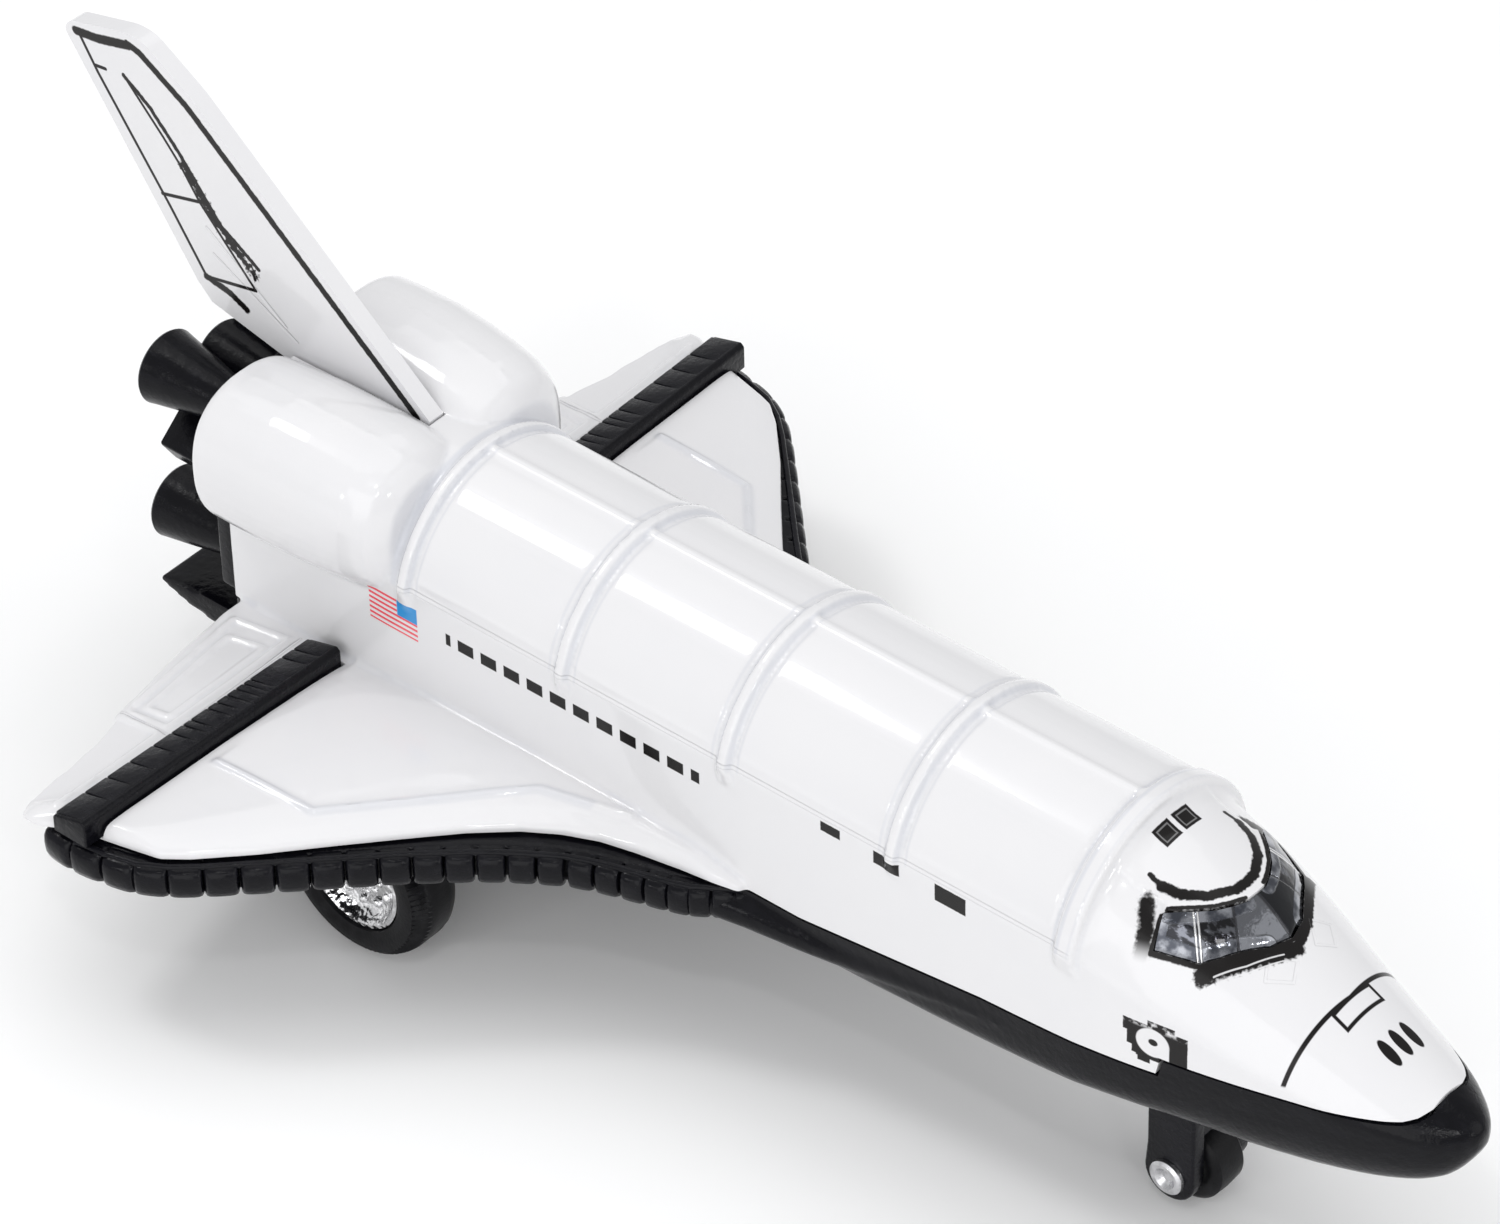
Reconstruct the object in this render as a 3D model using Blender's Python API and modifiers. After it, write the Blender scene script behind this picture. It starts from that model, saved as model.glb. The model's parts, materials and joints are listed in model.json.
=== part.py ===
"""Toy space shuttle on wheels: a die-cast upper body on a black moulded base, with a pull-back motor."""

import math

import bmesh
import bpy
from mathutils import Matrix, Vector

# Driving dimensions, in millimetres. Stations run from the nose tip (0) to the tail, along +Y.
MM = 0.001
LENGTH = 198.4
GAP = 0.3
NOSE_TO_TAIL_END = 165.4

# Wheels
MAIN_STATION = 132.5
MAIN_RADIUS = 10.7
MAIN_INNER_X = 23.6
MAIN_WIDTH = 7.0
HUB_RADIUS = 6.8
AXLE_RADIUS = 1.1
NOSE_WHEEL_STATION = 36.7
NOSE_WHEEL_RADIUS = 5.0
NOSE_WHEEL_WIDTH = 4.8
PIN_RADIUS = 0.9
WHEEL_CLEARANCE = 1.0
# Hub and tyre: distances from the middle of the wheel along its axle, and drops from its radius
HUB_FACE = 3.2
HUB_DISH = 2.4
HUB_DISH_SHARE = 0.8
HUB_BACK = 2.6
BORE_FIT = 0.05
TYRE_SIDE = 3.3
TYRE_SHOULDER = 1.0
AXLE_END_INSET = 1.4

# Fuselage
SIDE_X = 14.4
SILL_Z = 39.8
SPINE_Z = 51.2
BELLY_Z = 16.5
RIB_FRONT = 43.7
RIB_PITCH = 23.35
RIB_COUNT = 5
RIB_WIDTH = 1.7
RIB_HEIGHT = 0.7
RIB_SIDE_SHARE = 0.6

# Fuselage sections: station, half width, belly z, foot of the side, top of the side, top z
SECTIONS = (
    (0.0, 0.8, 28.1, 29.0, 29.0, 30.0),
    (0.8, 2.3, 26.4, 29.2, 29.2, 31.0),
    (2.6, 4.1, 24.0, 29.5, 29.5, 31.9),
    (6.0, 6.2, 22.2, 30.0, 30.2, 33.3),
    (12.3, 8.5, 20.6, 30.0, 31.0, 36.3),
    (18.3, 10.1, 19.8, 29.5, 32.2, 39.2),
    (24.3, 11.6, 19.5, 29.0, 34.0, 42.2),
    (30.3, 12.8, 19.7, 27.5, 36.0, 45.3),
    (36.3, 13.7, 19.4, 26.0, 38.0, 47.9),
    (41.6, 14.2, 18.9, 25.0, 39.4, 49.8),
    (43.0, 14.3, 18.7, 24.7, 39.8, 51.2),
    (50.0, SIDE_X, 18.0, 24.0, SILL_Z, SPINE_Z),
    (62.0, SIDE_X, 17.1, 23.0, SILL_Z, SPINE_Z),
    (80.0, SIDE_X, BELLY_Z, 22.0, SILL_Z, SPINE_Z),
    (140.0, SIDE_X, BELLY_Z, 22.0, SILL_Z, SPINE_Z),
    (165.4, 13.4, 17.4, 22.0, 38.4, 51.0),
)
LOW_POWER = 3.2
LOW_STEPS = 5
TOP_STEPS = 9
FAR_UP = 100.0

# Line where the white body meets the black base, as station and height, from tail to nose
PARTING = (
    (97.0, 23.55),
    (79.9, 23.7),
    (54.9, 26.8),
    (32.4, 28.4),
    (31.9, 30.7),
    (5.9, 31.4),
    (4.9, 36.0),
)

# Wing: half span position, leading edge station, trailing edge station, height in front, on top and at the back
WING = (
    (0.0, 84.0, 164.0, 24.5, 26.4, 24.0),
    (15.4, 88.0, 164.0, 24.5, 26.4, 24.0),
    (16.6, 95.3, 164.0, 24.5, 26.3, 24.0),
    (18.7, 105.0, 163.8, 24.5, 26.2, 23.9),
    (23.0, 112.9, 163.5, 24.5, 26.1, 23.8),
    (32.3, 122.2, 162.3, 24.5, 25.9, 23.6),
    (49.2, 137.6, 160.8, 24.5, 25.6, 23.4),
    (51.3, 140.3, 160.4, 24.5, 25.5, 23.4),
    (53.6, 150.0, 159.8, 24.3, 25.0, 23.3),
    (55.9, 154.6, 158.0, 23.9, 24.2, 23.2),
)
WING_BOTTOM = 22.2
WING_EDGE_BOTTOM = 23.7
CREST_SHARE = 0.22
STRIP_FRONT = 146.4
STRIP_REAR = 151.4
STRIP_BOTTOM = 23.7
STRIP_TOP_FRONT = 27.6
STRIP_TOP_REAR = 26.3
STRIP_CROWN = 0.7
STRIP_INNER_X = 15.6
STRIP_OUTER_X = 54.4
STRIP_SEGMENTS = 15
STRIP_LINE_HALF = 0.25
STRIP_LINE_DEPTH = 0.3
STRIP_GROOVE_FLOOR = 22.9
STRIP_GROOVE_TOP = 30.0

# Base: edge of the black flange, as half span position and station, from front to back
FLANGE = (
    (14.9, 86.0),
    (19.5, 92.9),
    (22.3, 102.0),
    (24.1, 106.2),
    (28.5, 112.6),
    (35.0, 119.9),
    (42.7, 127.6),
    (50.4, 135.4),
    (54.4, 140.2),
    (55.9, 146.0),
    (56.6, 150.8),
    (56.2, 154.6),
)
# Flange rings: height, and how far the edge lies inside the widest line
FLANGE_RINGS = (
    (18.7, 2.4),
    (19.3, 1.1),
    (20.6, 0.1),
    (21.8, 0.0),
    (22.9, 0.8),
    (23.4, 2.0),
)
# Rear edge of the flange, as half span position and station, from the tip inwards
FLANGE_BACK = (
    (54.0, 156.4),
    (34.0, 160.0),
    (13.0, 161.0),
)
FLANGE_INSET = 1.0
LOBES = 24
LOBE_FRONT_SHARE = 0.55
LOBE_BULGE = 0.16

# Rounded rib along the side of the base: station, half span position, height, radius
CHINE = (
    (33.0, 12.9, 26.7, 0.8),
    (39.3, 13.8, 26.1, 1.0),
    (52.0, 14.5, 24.6, 1.1),
    (60.0, 14.6, 23.6, 1.2),
    (70.0, 14.8, 21.9, 1.4),
    (78.0, 15.2, 20.8, 1.7),
    (87.0, 16.2, 20.6, 2.0),
    (97.0, 18.2, 20.8, 2.2),
)
CHINE_SIDES = 12
FLAP_REAR = 179.4
FLAP_HALF_WIDTH = 11.6
# Flap outline from the side, as station and height
FLAP = (
    (150.0, 18.6),
    (172.0, 18.6),
    (FLAP_REAR, 18.0),
    (FLAP_REAR + 0.3, 17.6),
    (FLAP_REAR, 17.3),
    (175.5, 16.0),
    (171.0, 15.2),
    (167.5, 15.3),
    (164.0, 16.4),
    (150.0, 17.4),
)

# Slanted thruster block beside each lower nozzle, as half span position and height
THRUSTER = (
    (7.0, 41.2),
    (11.6, 38.5),
    (10.4, 36.2),
    (5.8, 38.9),
)
THRUSTER_REAR = 178.2

# Tail fin profile, as station and height
FIN = (
    (144.6, 51.5),
    (178.4, 80.0),
    (185.6, 84.6),
    (188.2, 84.8),
    (197.2, 82.6),
    (198.6, 81.2),
    (180.1, 54.3),
    (178.0, 52.2),
    (166.2, 49.6),
    (164.0, 45.0),
    (146.0, 45.0),
)
FIN_THICKNESS = 2.2
FIN_EDGE = 0.6
FIN_SLOT_FRONT = 143.8
FIN_SLOT_REAR = 170.0
FIN_SLOT_FLOOR = 44.7

# Engines: name, half span position, height, rim station, throat radius, rim radius
NOZZLES = (
    ("top", 0.0, 43.8, 178.4, 2.6, 4.6),
    ("low", 7.6, 26.8, 179.6, 2.6, 4.6),
    ("pod", 8.2, 46.9, 179.0, 2.4, 4.6),
)
NOZZLE_WALL = 0.7
NOZZLE_ROOT = 0.6
NOZZLE_HOLLOW_SHARE = 0.7
BULKHEAD_DEPTH = 3.0
# Bulkhead outline: half width, bottom, foot of the side, top of the side, top, drawn in towards its foot
BULKHEAD = (13.2, 21.0, 24.0, 38.4, 50.6)
BULKHEAD_CENTRE_Z = 21.6
BULKHEAD_SHARE = 0.93

# Pods: station, centre x, centre z, half width, half height
PODS = (
    (139.2, 7.4, 43.8, 6.8, 6.9),
    (141.0, 8.0, 44.3, 8.4, 8.6),
    (146.0, 8.6, 44.7, 9.1, 9.4),
    (156.0, 9.3, 45.0, 9.3, 9.8),
    (NOSE_TO_TAIL_END, 9.6, 44.8, 9.0, 9.4),
)
POD_SIDES = 20
POD_POWER = 2.4

# Pull-back motor and the hangers that carry its axle
MOTOR_HALF_WIDTH = 10.0
MOTOR_HALF_LENGTH = 13.0
MOTOR_BOTTOM = 5.4
MOTOR_TOP = 26.0
HANGER_X = (19.2, 21.6)
HANGER_HALF_LENGTH = 4.0
HANGER_TOP = 19.6
HANGER_BELOW_AXLE = 3.0
BASE_CUT_FLOOR = 10.0

# Nose gear
FORK_INNER_X = 2.9
FORK_OUTER_X = 5.0
FORK_BOSS_RADIUS = 3.3
FORK_FRONT = 3.3
FORK_REAR = 3.0
PIN_HEAD_RADIUS = 2.2
FORK_TOP = 23.0
FORK_ABOVE_PIN = 1.0
PIN_HEAD_DEPTH = 0.5

# Cockpit window band from above, right half, as half span position and station
GLAZING = (
    (0.0, 25.3),
    (2.4, 25.9),
    (5.3, 27.9),
    (8.6, 30.1),
    (10.6, 34.8),
    (7.4, 36.3),
    (6.3, 35.2),
    (4.1, 32.9),
    (2.1, 31.6),
    (0.0, 31.2),
)
GLAZING_FLOOR = 37.0
GLAZING_SINK = 0.35


def station_y(station):
    """World y in millimetres of a station."""
    return station - LENGTH / 2.0


def clear_scene():
    """Empties the file, so that the script gives the same result from any start."""
    for existing in list(bpy.data.objects):
        bpy.data.objects.remove(existing, do_unlink=True)


def collection(name):
    """A collection of that name, linked to the scene."""
    group = bpy.data.collections.new(name)
    bpy.context.scene.collection.children.link(group)
    return group


def material(name, colour, roughness, metallic=0.0):
    """A Principled material."""
    made = bpy.data.materials.new(name)
    made.use_nodes = True
    shader = made.node_tree.nodes["Principled BSDF"]
    shader.inputs["Base Color"].default_value = (*colour, 1.0)
    shader.inputs["Roughness"].default_value = roughness
    shader.inputs["Metallic"].default_value = metallic
    made.diffuse_color = (*colour, 1.0)
    return made


clear_scene()
PARTS = collection("toy_space_shuttle")
CUTTERS = collection("cutters")

WHITE = material("white_enamel", (0.86, 0.87, 0.89), 0.22)
BLACK = material("black_plastic", (0.018, 0.018, 0.021), 0.38)
RUBBER = material("tyre_black", (0.022, 0.022, 0.024), 0.62)
CHROME = material("bright_chrome", (0.86, 0.87, 0.88), 0.10, 1.0)
STEEL = material("steel", (0.70, 0.70, 0.70), 0.30, 1.0)
SMOKED = material("smoked_glazing", (0.12, 0.12, 0.13), 0.12, 0.4)
MOTOR = material("motor_case", (0.03, 0.03, 0.034), 0.45)


def finish_mesh(mesh, name, finish, smooth_angle=35.0):
    """Turns a bmesh given in millimetres into an object of the model, in metres."""
    bmesh.ops.recalc_face_normals(mesh, faces=mesh.faces)
    bmesh.ops.scale(mesh, vec=(MM, MM, MM), verts=mesh.verts)
    data = bpy.data.meshes.new(name)
    mesh.to_mesh(data)
    mesh.free()
    data.shade_smooth()
    data.set_sharp_from_angle(angle=math.radians(smooth_angle))
    made = bpy.data.objects.new(name, data)
    if finish is None:
        CUTTERS.objects.link(made)
        made.hide_render = True
        made.display_type = "WIRE"
    else:
        data.materials.append(finish)
        PARTS.objects.link(made)
    return made


def loft(name, rings, finish):
    """A closed solid through rings of equal point count."""
    mesh = bmesh.new()
    loops = []
    for ring in rings:
        loops.append([mesh.verts.new(point) for point in ring])
    for low, high in zip(loops, loops[1:]):
        for index, vert in enumerate(low):
            following = (index + 1) % len(low)
            mesh.faces.new((vert, low[following], high[following], high[index]))
    mesh.faces.new(loops[0])
    mesh.faces.new(loops[-1])
    return finish_mesh(mesh, name, finish)


def prism(name, outline, low, high, axis, finish):
    """An outline extruded from low to high along an axis; the outline holds the other two coordinates in order."""
    mesh = bmesh.new()
    points = []
    for first, second in outline:
        spots = {"X": (low, first, second), "Y": (first, low, second), "Z": (first, second, low)}
        points.append(mesh.verts.new(spots[axis]))
    face = mesh.faces.new(points)
    grown = bmesh.ops.extrude_face_region(mesh, geom=[face])
    moved = [item for item in grown["geom"] if isinstance(item, bmesh.types.BMVert)]
    way = {"X": Vector((1, 0, 0)), "Y": Vector((0, 1, 0)), "Z": Vector((0, 0, 1))}[axis]
    bmesh.ops.translate(mesh, verts=moved, vec=way * (high - low))
    return finish_mesh(mesh, name, finish)


def box(name, low, high, finish):
    """A box between two corners."""
    mesh = bmesh.new()
    bmesh.ops.create_cube(mesh, size=1.0)
    size = [b - a for a, b in zip(low, high)]
    centre = [(a + b) / 2.0 for a, b in zip(low, high)]
    bmesh.ops.scale(mesh, vec=size, verts=mesh.verts)
    bmesh.ops.translate(mesh, vec=centre, verts=mesh.verts)
    return finish_mesh(mesh, name, finish)


def rod(name, centre, axis, radius, length, finish, sides=32, end_radius=None):
    """A cylinder or cone centred on a point, along X, Y or Z."""
    mesh = bmesh.new()
    last = radius if end_radius is None else end_radius
    bmesh.ops.create_cone(
        mesh, cap_ends=True, segments=sides, radius1=radius, radius2=last, depth=length
    )
    turns = {"X": Matrix.Rotation(math.pi / 2, 3, "Y"), "Y": Matrix.Rotation(-math.pi / 2, 3, "X")}
    if axis in turns:
        bmesh.ops.rotate(mesh, cent=(0, 0, 0), matrix=turns[axis], verts=mesh.verts)
    bmesh.ops.translate(mesh, vec=centre, verts=mesh.verts)
    return finish_mesh(mesh, name, finish)


def turned(name, profile, centre, axis, finish, sides=48):
    """A closed profile of radius and distance along the axis, turned about X or Y by a Screw modifier."""
    ends = profile[1:] + profile[:1]
    area = sum(r0 * a1 - r1 * a0 for (r0, a0), (r1, a1) in zip(profile, ends))
    if area > 0.0:
        profile = tuple(reversed(profile))
    mesh = bmesh.new()
    verts = [mesh.verts.new((radius, 0.0, along)) for radius, along in profile]
    for index, vert in enumerate(verts):
        mesh.edges.new((vert, verts[(index + 1) % len(verts)]))
    bmesh.ops.scale(mesh, vec=(MM, MM, MM), verts=mesh.verts)
    data = bpy.data.meshes.new(name)
    mesh.to_mesh(data)
    mesh.free()
    made = bpy.data.objects.new(name, data)
    spin = made.modifiers.new("turn", "SCREW")
    spin.steps = sides
    spin.render_steps = sides
    spin.use_merge_vertices = True
    spin.merge_threshold = 0.00001
    spin.use_smooth_shade = True
    made.rotation_euler = {"X": (0.0, math.pi / 2, 0.0), "Y": (-math.pi / 2, 0.0, 0.0)}[axis]
    made.location = [value * MM for value in centre]
    data.materials.append(finish)
    PARTS.objects.link(made)
    return made


def combine(target, other, operation):
    """Adds a Boolean to the target; the other object becomes a cutter."""
    change = target.modifiers.new(other.name, "BOOLEAN")
    change.operation = operation
    change.object = other
    change.solver = "EXACT"


def soften(target, width, segments):
    """Rounds the sharp edges of an object."""
    rounding = target.modifiers.new("rounding", "BEVEL")
    rounding.width = width * MM
    rounding.segments = segments
    rounding.limit_method = "ANGLE"
    rounding.angle_limit = math.radians(50.0)


def widened(outline, distance):
    """Closed plane outline moved outwards by a distance, with mitred corners."""
    ends = outline[1:] + outline[:1]
    area = sum(x0 * y1 - x1 * y0 for (x0, y0), (x1, y1) in zip(outline, ends))
    reach = math.copysign(distance, area)
    moved = []
    for index, (x, y) in enumerate(outline):
        before = Vector((x, y)) - Vector(outline[index - 1])
        after = Vector(outline[(index + 1) % len(outline)]) - Vector((x, y))
        first = Vector((before.y, -before.x)).normalized()
        second = Vector((after.y, -after.x)).normalized()
        corner = (first + second) / (1.0 + first.dot(second))
        moved.append((x + corner.x * reach, y + corner.y * reach))
    return moved


def place_origin(made, point):
    """Moves an object's origin to a point in millimetres, leaving its mesh where it is."""
    spot = Vector(point) * MM
    made.data.transform(Matrix.Translation(-spot))
    made.location = spot


def quarter(power, steps):
    """Points of a superellipse quarter, from (1, 0) to (0, 1)."""
    points = []
    for index in range(steps + 1):
        angle = math.pi / 2 * index / steps
        points.append((math.cos(angle) ** (2.0 / power), math.sin(angle) ** (2.0 / power)))
    return points


def arch(width, sill, top):
    """Points of a round arch from the top of the right side to the crown, as x and z."""
    rise = top - sill
    radius = (width**2 + rise**2) / (2.0 * rise)
    centre = top - radius
    start = math.atan2(sill - centre, width)
    points = []
    for index in range(TOP_STEPS + 1):
        angle = start + (math.pi / 2 - start) * index / TOP_STEPS
        points.append((radius * math.cos(angle), centre + radius * math.sin(angle)))
    points[-1] = (0.0, top)
    return points


def section(width, belly, foot, sill, top):
    """Right half of a fuselage section, from belly centre to top centre, as x and z."""
    low = [(width * c, foot - (foot - belly) * s) for c, s in quarter(LOW_POWER, LOW_STEPS)]
    high = arch(width, sill, top)
    if sill - foot < 0.05:
        high = high[1:]
    return list(reversed(low)) + high


def fuselage_ring(station, width, belly, foot, sill, top):
    """Whole ring of a fuselage section at a station."""
    half = section(width, belly, min(foot, sill - 0.1), sill, top)
    y = station_y(station)
    right = [(x, y, z) for x, z in half]
    left = [(-x, y, z) for x, z in reversed(half[1:-1])]
    return right + left


def parting_profile(offset, reach):
    """Side outline of the upper body: above the parting line by an offset, up to a height of reach."""
    points = [(station_y(LENGTH), PARTING[0][1] + offset)]
    for station, height in PARTING:
        points.append((station_y(station + offset), height + offset))
    points.append((station_y(PARTING[-1][0] + offset), reach))
    points.append((station_y(LENGTH), reach))
    return points


def wing_ring(half_span, lead, trail, front, top, back, side):
    """Chordwise section of the wing at a half span position, on one side."""
    chord = trail - lead
    crest = lead + CREST_SHARE * chord
    outline = (
        (lead + 3.0, WING_BOTTOM),
        (lead, WING_EDGE_BOTTOM),
        (lead + 0.7, front),
        (crest, top),
        (lead + 0.66 * chord, top - 0.2),
        (trail, back),
        (trail, WING_BOTTOM),
    )
    return [(side * half_span, station_y(station), height) for station, height in outline]


def wing_rings():
    """Rings of the whole wing from one tip to the other."""
    left = [wing_ring(*row, -1) for row in reversed(WING[1:])]
    right = [wing_ring(*row, 1) for row in WING]
    return left + right


def flange_edge(inset):
    """Scalloped edge of the base flange on the right, as x and station, from front to back."""
    lengths = [0.0]
    for (x0, s0), (x1, s1) in zip(FLANGE, FLANGE[1:]):
        lengths.append(lengths[-1] + math.hypot(x1 - x0, s1 - s0))

    def along(distance):
        """Point of the flange line at a distance from its front end."""
        for index in range(len(FLANGE) - 1):
            if distance <= lengths[index + 1] + 1e-9:
                share = (distance - lengths[index]) / (lengths[index + 1] - lengths[index])
                x0, s0 = FLANGE[index]
                x1, s1 = FLANGE[index + 1]
                return x0 + (x1 - x0) * share, s0 + (s1 - s0) * share
        return FLANGE[-1]

    weights = [LOBE_FRONT_SHARE + (1 - LOBE_FRONT_SHARE) * i / (LOBES - 1) for i in range(LOBES)]
    total = sum(weights)
    marks = [0.0]
    for weight in weights:
        marks.append(marks[-1] + lengths[-1] * weight / total)
    edge = []
    for start, end in zip(marks, marks[1:]):
        x0, s0 = along(start)
        x1, s1 = along(end)
        chord = math.hypot(x1 - x0, s1 - s0)
        normal = ((s1 - s0) / chord, -(x1 - x0) / chord)
        for step in (0.0, 0.25, 0.5, 0.75):
            out = LOBE_BULGE * chord * math.sin(math.pi * step) - FLANGE_INSET - inset
            edge.append((x0 + (x1 - x0) * step + normal[0] * out, s0 + (s1 - s0) * step + normal[1] * out))
    edge.append((FLANGE[-1][0] - FLANGE_INSET - inset, FLANGE[-1][1]))
    return edge


def flange_ring(height, inset):
    """Whole outline of the base flange at a height, with its edge inside the widest line by an inset."""
    (corner_x, corner_s), *rear = FLANGE_BACK
    edge = flange_edge(inset) + [(corner_x - inset, corner_s)] + rear
    right = [(x, station_y(s), height) for x, s in edge]
    return right + [(-x, y, z) for x, y, z in reversed(right)]


def chine_ring(station, half_span, height, radius, side):
    """Round section of the rib along the side of the base."""
    ring = []
    for index in range(CHINE_SIDES):
        angle = 2.0 * math.pi * index / CHINE_SIDES
        x = half_span - radius + radius * math.cos(angle)
        ring.append((side * x, station_y(station), height + radius * math.sin(angle)))
    return ring


def ground_box(name, x_range, s_range, z_range, finish=None):
    """A box by ranges of x, station and height."""
    low = (x_range[0], station_y(s_range[0]), z_range[0])
    high = (x_range[1], station_y(s_range[1]), z_range[1])
    return box(name, low, high, finish)


def main_arch(side):
    """Cutter for the room round one main wheel."""
    centre_x = side * (MAIN_INNER_X + MAIN_WIDTH / 2.0)
    return rod(
        f"main_arch_{side}",
        (centre_x, station_y(MAIN_STATION), MAIN_RADIUS),
        "X",
        MAIN_RADIUS + WHEEL_CLEARANCE,
        MAIN_WIDTH + 2.0 * WHEEL_CLEARANCE,
        None,
        sides=48,
    )


def pod_ring(station, centre_x, centre_z, half_width, half_height, side):
    """Section of one pod."""
    ring = []
    for index in range(POD_SIDES):
        angle = 2.0 * math.pi * index / POD_SIDES
        c, s = math.cos(angle), math.sin(angle)
        x = math.copysign(abs(c) ** (2.0 / POD_POWER), c) * half_width
        z = math.copysign(abs(s) ** (2.0 / POD_POWER), s) * half_height
        ring.append((side * (centre_x + x), station_y(station), centre_z + z))
    return ring


def build_body():
    """White upper casting: fuselage, wings, pods and door ribs in one piece."""
    body = loft("body_shell", [fuselage_ring(*row) for row in SECTIONS], WHITE)
    combine(body, loft("wing", wing_rings(), None), "UNION")
    upper = prism("upper_side", parting_profile(GAP / 2.0, FAR_UP), -FAR_UP, FAR_UP, "X", None)
    combine(body, upper, "INTERSECT")
    for side in (-1, 1):
        rings = [pod_ring(*row, side) for row in PODS]
        combine(body, loft(f"pod_{side}", rings, None), "UNION")
    for index in range(RIB_COUNT):
        middle = RIB_FRONT + RIB_PITCH * index
        half = arch(SIDE_X + RIB_HEIGHT * RIB_SIDE_SHARE, SILL_Z, SPINE_Z + RIB_HEIGHT)
        outline = half + [(-x, z) for x, z in reversed(half[:-1])]
        low = station_y(middle - RIB_WIDTH / 2.0)
        rib = prism(f"rib_{index}", outline, low, low + RIB_WIDTH, "Y", None)
        combine(body, rib, "UNION")
    slot_half = FIN_THICKNESS / 2.0 + GAP
    slot = ground_box(
        "fin_slot", (-slot_half, slot_half), (FIN_SLOT_FRONT, FIN_SLOT_REAR), (FIN_SLOT_FLOOR, FAR_UP)
    )
    combine(body, slot, "DIFFERENCE")
    for side in (-1, 1):
        inner, outer = STRIP_INNER_X - GAP, STRIP_OUTER_X + GAP
        x_range = (min(side * inner, side * outer), max(side * inner, side * outer))
        groove = ground_box(
            f"strip_groove_{side}",
            x_range,
            (STRIP_FRONT - GAP, STRIP_REAR + GAP),
            (STRIP_GROOVE_FLOOR, STRIP_GROOVE_TOP),
        )
        combine(body, groove, "DIFFERENCE")
        combine(body, main_arch(side), "DIFFERENCE")
    pocket = ground_box(
        "motor_pocket",
        (-MOTOR_HALF_WIDTH - GAP, MOTOR_HALF_WIDTH + GAP),
        (MAIN_STATION - MOTOR_HALF_LENGTH - GAP, MAIN_STATION + MOTOR_HALF_LENGTH + GAP),
        (BASE_CUT_FLOOR, MOTOR_TOP + GAP),
    )
    combine(body, pocket, "DIFFERENCE")
    combine(body, glazing_cutter("glazing_seat", GAP), "DIFFERENCE")
    return body


def glazing_cutter(name, extra):
    """Upright solid round the window band, seen from above, grown by a margin."""
    right = list(GLAZING)
    outline = right + [(-x, station) for x, station in reversed(right[1:-1])]
    points = [(x, station_y(station)) for x, station in widened(outline, extra)]
    return prism(name, points, GLAZING_FLOOR - extra, FAR_UP, "Z", None)


def build_glazing():
    """Cockpit window band."""
    rings = []
    for station, width, belly, foot, sill, top in SECTIONS[5:10]:
        sunk = GLAZING_SINK
        rings.append(fuselage_ring(station, width - sunk, belly, foot, sill, top - sunk))
    band = loft("cockpit_glazing", rings, SMOKED)
    combine(band, glazing_cutter("glazing_band", 0.0), "INTERSECT")
    return band


def build_fin():
    """Tail fin, standing in its slot."""
    outline = [(station_y(station), height) for station, height in FIN]
    half = FIN_THICKNESS / 2.0
    fin = prism("tail_fin", outline, -half, half, "X", WHITE)
    soften(fin, FIN_EDGE, 2)
    return fin


def build_strips():
    """Segmented black strips across the wings."""
    for side, word in ((-1, "left"), (1, "right")):
        low, high = sorted((side * STRIP_INNER_X, side * STRIP_OUTER_X))
        outline = (
            (station_y(STRIP_FRONT), STRIP_BOTTOM),
            (station_y(STRIP_FRONT), STRIP_TOP_FRONT - STRIP_CROWN),
            (station_y(STRIP_FRONT + STRIP_CROWN), STRIP_TOP_FRONT),
            (station_y(STRIP_REAR - STRIP_CROWN), STRIP_TOP_REAR),
            (station_y(STRIP_REAR), STRIP_TOP_REAR - STRIP_CROWN),
            (station_y(STRIP_REAR), STRIP_BOTTOM),
        )
        strip = prism(f"wing_strip_{word}", outline, low, high, "X", BLACK)
        pitch = (STRIP_OUTER_X - STRIP_INNER_X) / STRIP_SEGMENTS
        for index in range(1, STRIP_SEGMENTS):
            x = side * (STRIP_INNER_X + pitch * index)
            groove = ground_box(
                f"strip_line_{word}_{index}",
                (x - STRIP_LINE_HALF, x + STRIP_LINE_HALF),
                (STRIP_FRONT - 1.0, STRIP_REAR + 1.0),
                (STRIP_TOP_REAR - STRIP_LINE_DEPTH, STRIP_TOP_FRONT + 1.0),
            )
            combine(strip, groove, "DIFFERENCE")


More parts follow.
